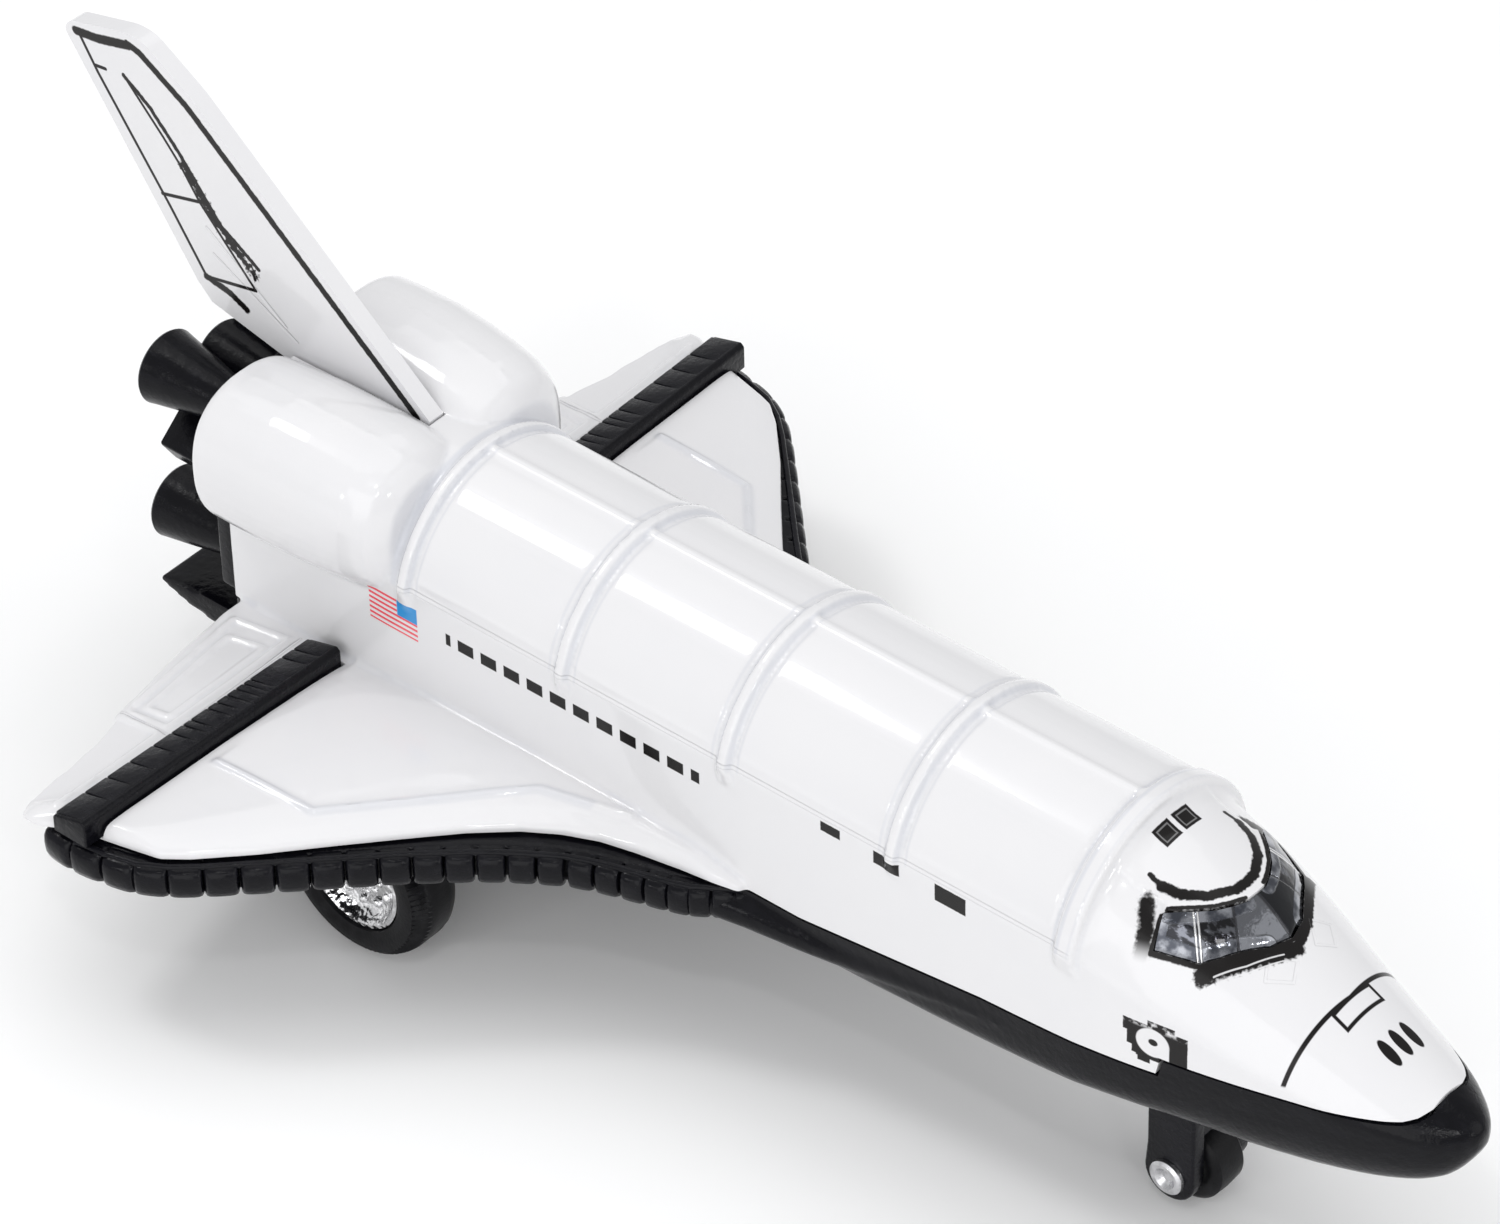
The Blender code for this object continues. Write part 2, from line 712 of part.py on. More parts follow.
def build_base():
    """Black moulded base: belly, nose cap, scalloped flange, rear flap and axle hangers."""
    base = loft("base_plate", [fuselage_ring(*row) for row in SECTIONS], BLACK)
    upper = prism("upper_side_base", parting_profile(-GAP / 2.0, FAR_UP), -FAR_UP, FAR_UP, "X", None)
    combine(base, upper, "DIFFERENCE")
    combine(base, loft("flange", [flange_ring(*row) for row in FLANGE_RINGS], None), "UNION")
    flap = prism(
        "flap",
        [(station_y(station), height) for station, height in FLAP],
        -FLAP_HALF_WIDTH,
        FLAP_HALF_WIDTH,
        "X",
        None,
    )
    combine(base, flap, "UNION")
    for side in (-1, 1):
        chine = loft(f"chine_{side}", [chine_ring(*row, side) for row in CHINE], None)
        combine(base, chine, "UNION")
    for side in (-1, 1):
        x_range = sorted((side * HANGER_X[0], side * HANGER_X[1]))
        s_range = (MAIN_STATION - HANGER_HALF_LENGTH, MAIN_STATION + HANGER_HALF_LENGTH)
        z_range = (MAIN_RADIUS - HANGER_BELOW_AXLE, HANGER_TOP)
        hanger = ground_box(f"hanger_{side}", x_range, s_range, z_range)
        combine(base, hanger, "UNION")
        combine(base, main_arch(side), "DIFFERENCE")
    bore = rod(
        "axle_bore", (0.0, station_y(MAIN_STATION), MAIN_RADIUS), "X", AXLE_RADIUS + GAP, 48.0, None, 24
    )
    combine(base, bore, "DIFFERENCE")
    pocket = ground_box(
        "motor_window",
        (-MOTOR_HALF_WIDTH - GAP, MOTOR_HALF_WIDTH + GAP),
        (MAIN_STATION - MOTOR_HALF_LENGTH - GAP, MAIN_STATION + MOTOR_HALF_LENGTH + GAP),
        (BASE_CUT_FLOOR, MOTOR_TOP + 2.0 * WHEEL_CLEARANCE),
    )
    combine(base, pocket, "DIFFERENCE")
    fork_seat = ground_box(
        "fork_seat",
        (-FORK_OUTER_X - GAP, FORK_OUTER_X + GAP),
        (NOSE_WHEEL_STATION - FORK_FRONT - GAP, NOSE_WHEEL_STATION + FORK_REAR + GAP),
        (BASE_CUT_FLOOR, FORK_TOP + GAP),
    )
    combine(base, fork_seat, "DIFFERENCE")
    return base


def build_engines():
    """Black rear insert: bulkhead with the nozzles."""
    rear = NOSE_TO_TAIL_END + GAP
    outline = []
    for x, z in section(*BULKHEAD):
        outline.append((x * BULKHEAD_SHARE, BULKHEAD_CENTRE_Z + (z - BULKHEAD_CENTRE_Z) * BULKHEAD_SHARE))
    whole = outline + [(-x, z) for x, z in reversed(outline[1:-1])]
    insert = prism("engine_insert", whole, station_y(rear), station_y(rear + BULKHEAD_DEPTH), "Y", BLACK)
    for name, half_span, height, rim, throat, mouth in NOZZLES:
        for side in (-1, 1) if half_span else (1,):
            start = rear + BULKHEAD_DEPTH - NOZZLE_ROOT
            length = rim - start
            centre = (side * half_span, station_y(start + length / 2.0), height)
            cone = rod(f"nozzle_{name}_{side}", centre, "Y", throat, length, None, 24, mouth)
            combine(insert, cone, "UNION")
            deep = length * NOZZLE_HOLLOW_SHARE
            hollow_centre = (side * half_span, station_y(rim - deep / 2.0 + 0.5), height)
            hollow = rod(
                f"hollow_{name}_{side}",
                hollow_centre,
                "Y",
                throat - NOZZLE_WALL,
                deep + 1.0,
                None,
                24,
                mouth - NOZZLE_WALL + 0.1,
            )
            combine(insert, hollow, "DIFFERENCE")
    for side in (-1, 1):
        outline = [(side * x, z) for x, z in THRUSTER]
        low, high = station_y(rear + BULKHEAD_DEPTH - NOZZLE_ROOT), station_y(THRUSTER_REAR)
        combine(insert, prism(f"thruster_{side}", outline, low, high, "Y", None), "UNION")
    return insert


def build_main_wheels():
    """Rear axle with its hubs and tyres."""
    y = station_y(MAIN_STATION)
    half = MAIN_INNER_X + MAIN_WIDTH - AXLE_END_INSET
    axle = rod("main_axle", (0.0, y, MAIN_RADIUS), "X", AXLE_RADIUS, 2.0 * half, STEEL, 24)
    place_origin(axle, (0.0, y, MAIN_RADIUS))
    half_width = MAIN_WIDTH / 2.0
    for side, word in ((-1, "left"), (1, "right")):
        x_mid = MAIN_INNER_X + half_width
        hub_profile = (
            (AXLE_RADIUS + BORE_FIT, side * HUB_FACE),
            (HUB_RADIUS * HUB_DISH_SHARE, side * HUB_DISH),
            (HUB_RADIUS - GAP, side * HUB_FACE),
            (HUB_RADIUS - GAP, side * -HUB_BACK),
            (AXLE_RADIUS + BORE_FIT, side * -HUB_BACK),
        )
        turned(
            f"main_hub_{word}", hub_profile, (side * x_mid, y, MAIN_RADIUS), "X", CHROME, 40
        )
        tyre_profile = (
            (HUB_RADIUS, side * TYRE_SIDE),
            (MAIN_RADIUS - TYRE_SHOULDER, side * half_width),
            (MAIN_RADIUS, side * (half_width - 0.8 * TYRE_SHOULDER)),
            (MAIN_RADIUS, side * (0.5 * TYRE_SHOULDER - half_width)),
            (MAIN_RADIUS - 0.8 * TYRE_SHOULDER, side * -half_width),
            (HUB_RADIUS, side * -TYRE_SIDE),
        )
        turned(
            f"main_tyre_{word}", tyre_profile, (side * x_mid, y, MAIN_RADIUS), "X", RUBBER, 48
        )


def build_nose_gear():
    """Fork, pin and wheel under the nose."""
    y = station_y(NOSE_WHEEL_STATION)
    z = NOSE_WHEEL_RADIUS
    fork = ground_box(
        "nose_gear_fork",
        (-FORK_OUTER_X, FORK_OUTER_X),
        (NOSE_WHEEL_STATION - FORK_FRONT, NOSE_WHEEL_STATION + FORK_REAR),
        (z + FORK_ABOVE_PIN, FORK_TOP),
        BLACK,
    )
    boss = rod("fork_boss", (0.0, y, z), "X", FORK_BOSS_RADIUS, 2.0 * FORK_OUTER_X, None, 32)
    combine(fork, boss, "UNION")
    throat = ground_box(
        "fork_throat",
        (-FORK_INNER_X, FORK_INNER_X),
        (NOSE_WHEEL_STATION - 9.0, NOSE_WHEEL_STATION + 9.0),
        (-2.0, z + NOSE_WHEEL_RADIUS + WHEEL_CLEARANCE),
    )
    combine(fork, throat, "DIFFERENCE")
    bore = rod("fork_bore", (0.0, y, z), "X", PIN_RADIUS + GAP, 14.0, None, 24)
    combine(fork, bore, "DIFFERENCE")
    head = FORK_OUTER_X + GAP
    pin_profile = (
        (0.0, -head - PIN_HEAD_DEPTH),
        (0.0, head + PIN_HEAD_DEPTH),
        (PIN_HEAD_RADIUS, head + PIN_HEAD_DEPTH),
        (PIN_HEAD_RADIUS, head),
        (PIN_RADIUS, head),
        (PIN_RADIUS, -head),
        (PIN_HEAD_RADIUS, -head),
        (PIN_HEAD_RADIUS, -head - PIN_HEAD_DEPTH),
    )
    turned("nose_pin", pin_profile, (0.0, y, z), "X", STEEL, 24)
    half = NOSE_WHEEL_WIDTH / 2.0
    wheel_profile = (
        (PIN_RADIUS + GAP, half - 0.6),
        (NOSE_WHEEL_RADIUS - 1.8, half),
        (NOSE_WHEEL_RADIUS - 0.8, half - 0.2),
        (NOSE_WHEEL_RADIUS - 0.15, half - 1.1),
        (NOSE_WHEEL_RADIUS, 0.4),
        (NOSE_WHEEL_RADIUS, -0.4),
        (NOSE_WHEEL_RADIUS - 0.15, 1.1 - half),
        (NOSE_WHEEL_RADIUS - 0.8, 0.2 - half),
        (NOSE_WHEEL_RADIUS - 1.8, -half),
        (PIN_RADIUS + GAP, 0.6 - half),
    )
    turned("nose_wheel", wheel_profile, (0.0, y, z), "X", RUBBER, 40)


def build_motor():
    """Plain block for the pull-back motor, with the axle through it."""
    motor = ground_box(
        "pullback_motor",
        (-MOTOR_HALF_WIDTH, MOTOR_HALF_WIDTH),
        (MAIN_STATION - MOTOR_HALF_LENGTH, MAIN_STATION + MOTOR_HALF_LENGTH),
        (MOTOR_BOTTOM, MOTOR_TOP),
        MOTOR,
    )
    bore = rod(
        "motor_bore", (0.0, station_y(MAIN_STATION), MAIN_RADIUS), "X", AXLE_RADIUS + GAP, 30.0, None, 24
    )
    combine(motor, bore, "DIFFERENCE")
    return motor


build_body()
build_glazing()
build_fin()
build_strips()
build_base()
build_engines()
build_motor()
build_main_wheels()
build_nose_gear()
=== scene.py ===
"""Dressed model of a small die-cast toy space shuttle on wheels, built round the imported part."""

import json
import logging
import math
from collections.abc import Sequence
from dataclasses import dataclass
from enum import Enum

import bmesh
import bpy
from mathutils import Matrix, Vector

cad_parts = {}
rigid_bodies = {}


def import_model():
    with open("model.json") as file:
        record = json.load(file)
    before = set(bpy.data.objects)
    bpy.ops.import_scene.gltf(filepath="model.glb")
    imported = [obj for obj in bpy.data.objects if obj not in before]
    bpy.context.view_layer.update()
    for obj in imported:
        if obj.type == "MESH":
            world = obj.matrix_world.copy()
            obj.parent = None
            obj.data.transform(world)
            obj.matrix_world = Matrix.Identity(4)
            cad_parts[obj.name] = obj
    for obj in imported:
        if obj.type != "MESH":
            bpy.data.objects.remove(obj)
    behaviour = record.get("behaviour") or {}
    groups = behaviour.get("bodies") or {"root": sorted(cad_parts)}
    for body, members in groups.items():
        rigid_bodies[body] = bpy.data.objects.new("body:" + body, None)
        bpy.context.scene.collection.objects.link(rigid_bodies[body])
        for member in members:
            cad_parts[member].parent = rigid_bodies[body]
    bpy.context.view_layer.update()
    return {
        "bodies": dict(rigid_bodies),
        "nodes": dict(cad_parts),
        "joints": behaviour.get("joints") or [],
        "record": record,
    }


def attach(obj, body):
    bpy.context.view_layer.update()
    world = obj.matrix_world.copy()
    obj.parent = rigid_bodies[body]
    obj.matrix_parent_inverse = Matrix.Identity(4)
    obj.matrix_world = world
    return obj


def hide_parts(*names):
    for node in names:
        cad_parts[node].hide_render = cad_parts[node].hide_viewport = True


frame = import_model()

log = logging.getLogger("toy_shuttle")

MM = 0.001
LENGTH = 198.4
WHOLE_TURN = 2.0 * math.pi

# Gap between pieces that touch
GAP = 0.3

# Wheels, the motor case between the main ones and the fork that holds the nose wheel
WHEEL_STATION = 132.5
WHEEL_RADIUS = 10.7
MOTOR_HALF_WIDTH = 10.0
MOTOR_HALF_LENGTH = 13.0
NOSE_WHEEL_STATION = 36.7
NOSE_WHEEL_RADIUS = 5.0
FORK_HALF_WIDTH = 5.0
FORK_FRONT = 3.3
FORK_REAR = 3.0
FORK_TOP = 23.0

# Half thickness of the tail fin
FIN_HALF = 1.1

# Bars across the wings: stations at their inner end, half span of their ends, and how far back the outer end lies
STRIP_FRONT = 146.4
STRIP_REAR = 151.4
STRIP_INNER = 15.6
STRIP_OUTER = 55.3
STRIP_SWEEP = 1.2

# Half width from which printed marks on the upright side begin, and where they are full
SIDE_FROM, SIDE_FULL = 13.9, 14.1

Plane = tuple[float, float]
Spot = tuple[float, float, float]

# Fuselage sections: station, half width, belly, foot of the side, top of the side, top
SECTIONS = (
    (0.0, 0.8, 28.1, 29.0, 29.0, 30.0),
    (0.8, 2.3, 26.4, 29.2, 29.2, 31.0),
    (2.6, 4.1, 24.0, 29.5, 29.5, 31.9),
    (6.0, 6.2, 22.2, 30.0, 30.2, 33.3),
    (12.3, 8.5, 20.6, 30.0, 31.0, 36.3),
    (18.3, 10.1, 19.8, 29.5, 32.2, 39.2),
    (24.3, 11.6, 19.5, 29.0, 34.0, 42.2),
    (30.3, 12.8, 19.7, 27.5, 36.0, 45.3),
    (36.3, 13.7, 19.4, 26.0, 38.0, 47.9),
    (41.6, 14.2, 18.9, 25.0, 39.4, 49.8),
    (43.0, 14.3, 18.7, 24.7, 39.8, 51.2),
    (50.0, 14.4, 18.0, 24.0, 39.8, 51.2),
    (62.0, 14.4, 17.1, 23.0, 39.8, 51.2),
    (80.0, 14.4, 16.5, 22.0, 39.8, 51.2),
    (140.0, 14.4, 16.5, 22.0, 39.8, 51.2),
    (165.4, 13.4, 17.4, 22.0, 38.4, 51.0),
)

# Line where the white casting meets the black base, as station and height, from tail to nose
PARTING = (
    (97.0, 23.55),
    (79.9, 23.7),
    (54.9, 26.8),
    (32.4, 28.4),
    (31.9, 30.7),
    (8.0, 31.3),
    (6.5, 31.4),
    (5.4, 31.7),
    (4.7, 32.2),
    (4.8, 32.8),
    (5.1, 33.4),
    (5.2, 36.0),
)

# Wing: half span position, stations of its leading and trailing edge, height in front, on top and at the back
WING = (
    (0.0, 84.0, 164.0, 24.5, 26.4, 24.0),
    (15.4, 88.0, 164.0, 24.5, 26.4, 24.0),
    (16.6, 95.3, 164.0, 24.5, 26.3, 24.0),
    (18.7, 105.0, 163.8, 24.5, 26.2, 23.9),
    (23.0, 112.9, 163.5, 24.5, 26.1, 23.8),
    (32.3, 122.2, 162.3, 24.5, 25.9, 23.6),
    (49.2, 137.6, 160.8, 24.5, 25.6, 23.4),
    (51.3, 140.3, 160.4, 24.5, 25.5, 23.4),
    (53.6, 150.0, 159.8, 24.3, 25.0, 23.3),
    (55.9, 154.6, 158.0, 23.9, 24.2, 23.2),
)

# Raised field on top of each wing, as half span position and station
WING_FIELD = (
    (13.0, 145.2),
    (37.2, 145.2),
    (36.6, 131.2),
    (21.6, 117.6),
    (18.3, 114.0),
    (16.8, 108.0),
    (15.6, 103.0),
    (13.0, 103.0),
)

# Edge of the scalloped base flange, as half span position and station, from front to back
FLANGE = (
    (14.9, 86.0),
    (19.5, 92.9),
    (22.3, 102.0),
    (24.1, 106.2),
    (28.5, 112.6),
    (35.0, 119.9),
    (42.7, 127.6),
    (50.4, 135.4),
    (54.4, 140.2),
    (55.9, 146.0),
    (56.6, 150.8),
    (56.2, 154.6),
)

# Rounded rib along the side of the base: station, half span position, height, radius
CHINE = (
    (33.0, 12.9, 26.7, 0.8),
    (39.3, 13.8, 26.1, 1.0),
    (52.0, 14.5, 24.6, 1.1),
    (60.0, 14.6, 23.6, 1.2),
    (70.0, 14.8, 21.9, 1.4),
    (78.0, 15.2, 20.8, 1.7),
    (87.0, 16.2, 20.6, 2.0),
    (97.0, 18.2, 20.8, 2.2),
)

# Pods: station, centre x, centre z, half width, half height
PODS = (
    (139.2, 7.4, 43.8, 6.5, 6.6),
    (139.7, 7.5, 43.9, 7.2, 7.3),
    (141.0, 8.0, 44.3, 8.2, 8.4),
    (146.0, 8.6, 44.7, 9.1, 9.4),
    (156.0, 9.3, 45.0, 9.3, 9.8),
    (165.4, 9.6, 44.8, 9.0, 9.4),
)

# Tail fin outline, as station and height
FIN = (
    (144.6, 51.5),
    (178.4, 80.0),
    (185.6, 84.6),
    (188.2, 84.8),
    (197.2, 82.6),
    (198.4, 81.2),
    (180.1, 54.3),
    (178.0, 52.2),
    (166.2, 49.6),
    (164.0, 45.0),
    (146.0, 45.0),
)

# Cockpit windows from above, right half: lower and upper end of each upright edge, as half span and station
PANES = (
    ((0.0, 25.3), (0.0, 29.8)),
    ((2.6, 26.0), (1.6, 29.9)),
    ((5.4, 28.0), (3.2, 30.6)),
    ((7.0, 29.1), (4.8, 31.6)),
    ((8.7, 30.5), (6.3, 33.1)),
    ((9.7, 32.9), (7.4, 34.4)),
    ((10.5, 35.0), (8.4, 35.6)),
)
WINDOW = tuple(low for low, _ in PANES) + tuple(high for _, high in reversed(PANES))


def station_y(station: float) -> float:
    """World y in millimetres of a station behind the nose tip."""
    return station - LENGTH / 2.0


def mirrored(outline: Sequence[Plane]) -> list[Plane]:
    """Right half outline closed by its mirror image.

    Args:
        outline: Points of the right half that start and end on the centre line.

    Returns:
        The whole outline.
    """
    return list(outline) + [(-x, v) for x, v in reversed(outline[1:-1])]


def widened(outline: Sequence[Plane], distance: float) -> list[Plane]:
    """Closed plane outline moved outwards with mitred corners.

    Args:
        outline: Points of the outline in order.
        distance: How far each side moves, in millimetres.

    Returns:
        The moved points.
    """
    ends = list(outline[1:]) + [outline[0]]
    area = sum(x0 * y1 - x1 * y0 for (x0, y0), (x1, y1) in zip(outline, ends))
    reach = math.copysign(distance, area) if distance >= 0.0 else -math.copysign(distance, area)
    moved = []
    for index, (x, y) in enumerate(outline):
        before = Vector((x, y)) - Vector(outline[index - 1])
        after = Vector(ends[index]) - Vector((x, y))
        first = Vector((before.y, -before.x)).normalized()
        second = Vector((after.y, -after.x)).normalized()
        corner = (first + second) / (1.0 + first.dot(second))
        moved.append((x + corner.x * reach, y + corner.y * reach))
    return moved


class Track:
    """Smooth line through measured values that never overshoots them."""

    def __init__(self, places: Sequence[float], values: Sequence[float]) -> None:
        """Works out the slope at each value.

        Args:
            places: Where the values hold, rising.
            values: The measured values.
        """
        self.places = list(places)
        self.values = list(values)
        rates = [
            (v1 - v0) / (p1 - p0)
            for p0, p1, v0, v1 in zip(places, places[1:], values, values[1:])
        ]
        inner = [
            0.0 if a * b <= 0.0 else 2.0 * a * b / (a + b) for a, b in zip(rates, rates[1:])
        ]
        self.slopes = [rates[0], *inner, rates[-1]]

    def at(self, place: float) -> float:
        """Value at a place.

        Args:
            place: Any number; it is held within the measured range.

        Returns:
            The value there.
        """
        place = min(max(place, self.places[0]), self.places[-1])
        index = 0
        while index < len(self.places) - 2 and self.places[index + 1] <= place:
            index += 1
        span = self.places[index + 1] - self.places[index]
        t = (place - self.places[index]) / span
        start, end = self.values[index], self.values[index + 1]
        pull, push = self.slopes[index] * span, self.slopes[index + 1] * span
        return (
            (2 * t**3 - 3 * t**2 + 1) * start
            + (t**3 - 2 * t**2 + t) * pull
            + (3 * t**2 - 2 * t**3) * end
            + (t**3 - t**2) * push
        )


def tracks(table: Sequence[Sequence[float]]) -> list[Track]:
    """One smooth line for each column of a table after its first."""
    columns = list(zip(*table))
    return [Track(columns[0], column) for column in columns[1:]]


class Axis(Enum):
    """Axis that a plane outline is pushed along."""

    X = 0
    Y = 1
    Z = 2


class Form:
    """A mesh in the making, in millimetres."""

    def __init__(self) -> None:
        """Starts empty."""
        self.mesh = bmesh.new()

    def ring(self, points: Sequence[Spot]) -> list[bmesh.types.BMEdge]:
        """Closed loop of edges through points.

        Args:
            points: Corners of the loop in order.

        Returns:
            The edges of the loop.
        """
        made = bmesh.ops.create_circle(self.mesh, cap_ends=False, radius=1.0, segments=len(points))
        verts = made["verts"]
        for vert, point in zip(verts, points):
            vert.co = point
        return list({edge for vert in verts for edge in vert.link_edges})

    def loft(self, rings: Sequence[Sequence[Spot]]) -> "Form":
        """Closed skin through rings with equal numbers of points.

        Args:
            rings: The rings in order.

        Returns:
            This form.
        """
        loops = [self.ring(points) for points in rings]
        for near, far in zip(loops, loops[1:]):
            bmesh.ops.bridge_loops(self.mesh, edges=near + far)
        for end in (loops[0], loops[-1]):
            bmesh.ops.edgeloop_fill(self.mesh, edges=end)
        return self

    def slab(
        self, outline: Sequence[Plane], low: float, high: float, axis: Axis
    ) -> list[bmesh.types.BMVert]:
        """Plane outline pushed along an axis.

        Args:
            outline: The other two coordinates of each corner, in the order x, y, z.
            low: Where the slab starts on the axis.
            high: Where it ends.
            axis: The axis.

        Returns:
            All corners of the slab.
        """
        points = []
        for first, second in outline:
            point = [first, second]
            point.insert(axis.value, low)
            points.append(tuple(point))
        edges = self.ring(points)
        start = {vert for edge in edges for vert in edge.verts}
        faces = bmesh.ops.edgeloop_fill(self.mesh, edges=edges)["faces"]
        grown = bmesh.ops.extrude_face_region(self.mesh, geom=faces, use_keep_orig=True)["geom"]
        moved = [item for item in grown if isinstance(item, bmesh.types.BMVert)]
        way = Vector((0.0, 0.0, 0.0))
        way[axis.value] = high - low
        bmesh.ops.translate(self.mesh, verts=moved, vec=way)
        return list(start) + moved

    def block(
        self, low: Spot, high: Spot, round_by: float = 0.0, segments: int = 2
    ) -> list[bmesh.types.BMVert]:
        """Box between two corners, with rounded edges.

        Args:
            low: Lowest corner.
            high: Highest corner.
            round_by: Radius of the edges.
            segments: Steps of the rounding.

        Returns:
            The corners of the box.
        """
        verts = bmesh.ops.create_cube(self.mesh, size=1.0)["verts"]
        size = [b - a for a, b in zip(low, high)]
        centre = [(a + b) / 2.0 for a, b in zip(low, high)]
        bmesh.ops.scale(self.mesh, vec=size, verts=verts)
        bmesh.ops.translate(self.mesh, vec=centre, verts=verts)
        if round_by > 0.0:
            verts = self.rounded(self.edges_of(verts), round_by, segments)
        return verts

    def rounded(
        self, edges: list[bmesh.types.BMEdge], width: float, segments: int
    ) -> list[bmesh.types.BMVert]:
        """Rounds edges.

        Args:
            edges: The edges.
            width: Radius.
            segments: Steps.

        Returns:
            The new corners and those they touch.
        """
        made = bmesh.ops.bevel(
            self.mesh,
            geom=edges,
            offset=width,
            offset_type="OFFSET",
            segments=segments,
            profile=0.5,
            affect="EDGES",
            clamp_overlap=True,
            material=-1,
        )
        return list({vert for face in made["faces"] for vert in face.verts})

    def edges_of(self, verts: Sequence[bmesh.types.BMVert]) -> list[bmesh.types.BMEdge]:
        """Every edge that ends at one of the corners."""
        return list({edge for vert in verts for edge in vert.link_edges})

    def sharp_edges(self, degrees: float) -> list[bmesh.types.BMEdge]:
        """Edges whose faces meet at more than an angle."""
        limit = math.radians(degrees)
        return [e for e in self.mesh.edges if len(e.link_faces) == 2 and e.calc_face_angle() > limit]

    def lathe(
        self, profile: Sequence[Plane], centre: Spot, way: Axis, steps: int, closed: bool = True
    ) -> "Form":
        """Profile turned round an axis.

        Args:
            profile: Radius and distance along the axis of each point.
            centre: Point on the axis that distances start from.
            way: Direction of the axis.
            steps: Number of steps in the whole turn.
            closed: Whether the last point joins the first.

        Returns:
            This form.
        """
        forward = Vector((0.0, 0.0, 0.0))
        forward[way.value] = 1.0
        outward = Vector((0.0, 0.0, 1.0)) if way is not Axis.Z else Vector((1.0, 0.0, 0.0))
        verts = [
            self.mesh.verts.new(Vector(centre) + outward * radius + forward * along)
            for radius, along in profile
        ]
        pairs = list(zip(verts, verts[1:]))
        if closed:
            pairs.append((verts[-1], verts[0]))
        edges = [self.mesh.edges.new(pair) for pair in pairs]
        bmesh.ops.spin(
            self.mesh,
            geom=verts + edges,
            cent=centre,
            axis=forward,
            angle=WHOLE_TURN,
            steps=steps,
            use_merge=True,
        )
        return self

    def tube(self, path: Sequence[Spot], radii: Sequence[float], sides: int = 12) -> "Form":
        """Round bar along a path.

        Args:
            path: Centres of the bar.
            radii: Radius at each centre.
            sides: Points round the bar.

        Returns:
            This form.
        """
        rings = []
        spots = [Vector(point) for point in path]
        for index, spot in enumerate(spots):
            ahead = spots[min(index + 1, len(spots) - 1)] - spots[max(index - 1, 0)]
            ahead.normalize()
            side = ahead.cross(Vector((0.0, 0.0, 1.0))).normalized()
            up = side.cross(ahead)
            ring = []
            for step in range(sides):
                angle = WHOLE_TURN * step / sides
                ring.append(tuple(spot + (side * math.cos(angle) + up * math.sin(angle)) * radii[index]))
            rings.append(ring)
        return self.loft(rings)

    def sealed(self) -> "Form":
        """Merges doubles and turns every face outwards."""
        bmesh.ops.remove_doubles(self.mesh, verts=self.mesh.verts, dist=0.001)
        bmesh.ops.recalc_face_normals(self.mesh, faces=self.mesh.faces)
        return self

    def data(self, name: str) -> bpy.types.Mesh:
        """Mesh data in millimetres; the form is used up."""
        self.sealed()
        made = bpy.data.meshes.new(name)
        self.mesh.to_mesh(made)
        self.mesh.free()
        return made


def settled(source: bpy.types.Object, name: str) -> bpy.types.Mesh:
    """Mesh of an object with its modifiers worked in; the object goes.

    Args:
        source: Object with modifiers.
        name: Name of the new mesh.

    Returns:
        The mesh.
    """
    bpy.context.view_layer.update()
    graph = bpy.context.evaluated_depsgraph_get()
    made = bpy.data.meshes.new_from_object(source.evaluated_get(graph))
    made.name = name
    bpy.data.objects.remove(source, do_unlink=True)
    return made


def loose_object(form_data: bpy.types.Mesh, name: str) -> bpy.types.Object:
    """Object for mesh data, linked to the scene."""
    made = bpy.data.objects.new(name, form_data)
    bpy.context.scene.collection.objects.link(made)
    return made


def cast_skin(
    form: Form, name: str, grain: float, keep: float, cutters: Sequence[Form]
) -> bpy.types.Mesh:
    """Overlapping shells melted into one soft skin, then cut.

    Args:
        form: The shells.
        name: Name of the result.
        grain: Size of a face, in millimetres.
        keep: Share of the faces that stays at the end.
        cutters: Solids that are taken away, one after the other.

    Returns:
        Mesh in millimetres.
    """
    blank = loose_object(form.data(name), name)
    melt = blank.modifiers.new("melt", "REMESH")
    melt.mode = "VOXEL"
    melt.voxel_size = grain
    melt.use_smooth_shade = True
    soften = blank.modifiers.new("soften", "SMOOTH")
    soften.factor = 0.5
    soften.iterations = 2
    tools = []
    for cutter in cutters:
        tool = loose_object(cutter.data(name + "_cutter"), name + "_cutter")
        tools.append(tool)
        cut = blank.modifiers.new("cut", "BOOLEAN")
        cut.operation = "DIFFERENCE"
        cut.object = tool
        cut.solver = "MANIFOLD"
    thin = blank.modifiers.new("thin", "DECIMATE")
    thin.ratio = keep
    made = settled(blank, name)
    for tool in tools:
        bpy.data.objects.remove(tool, do_unlink=True)
    return made


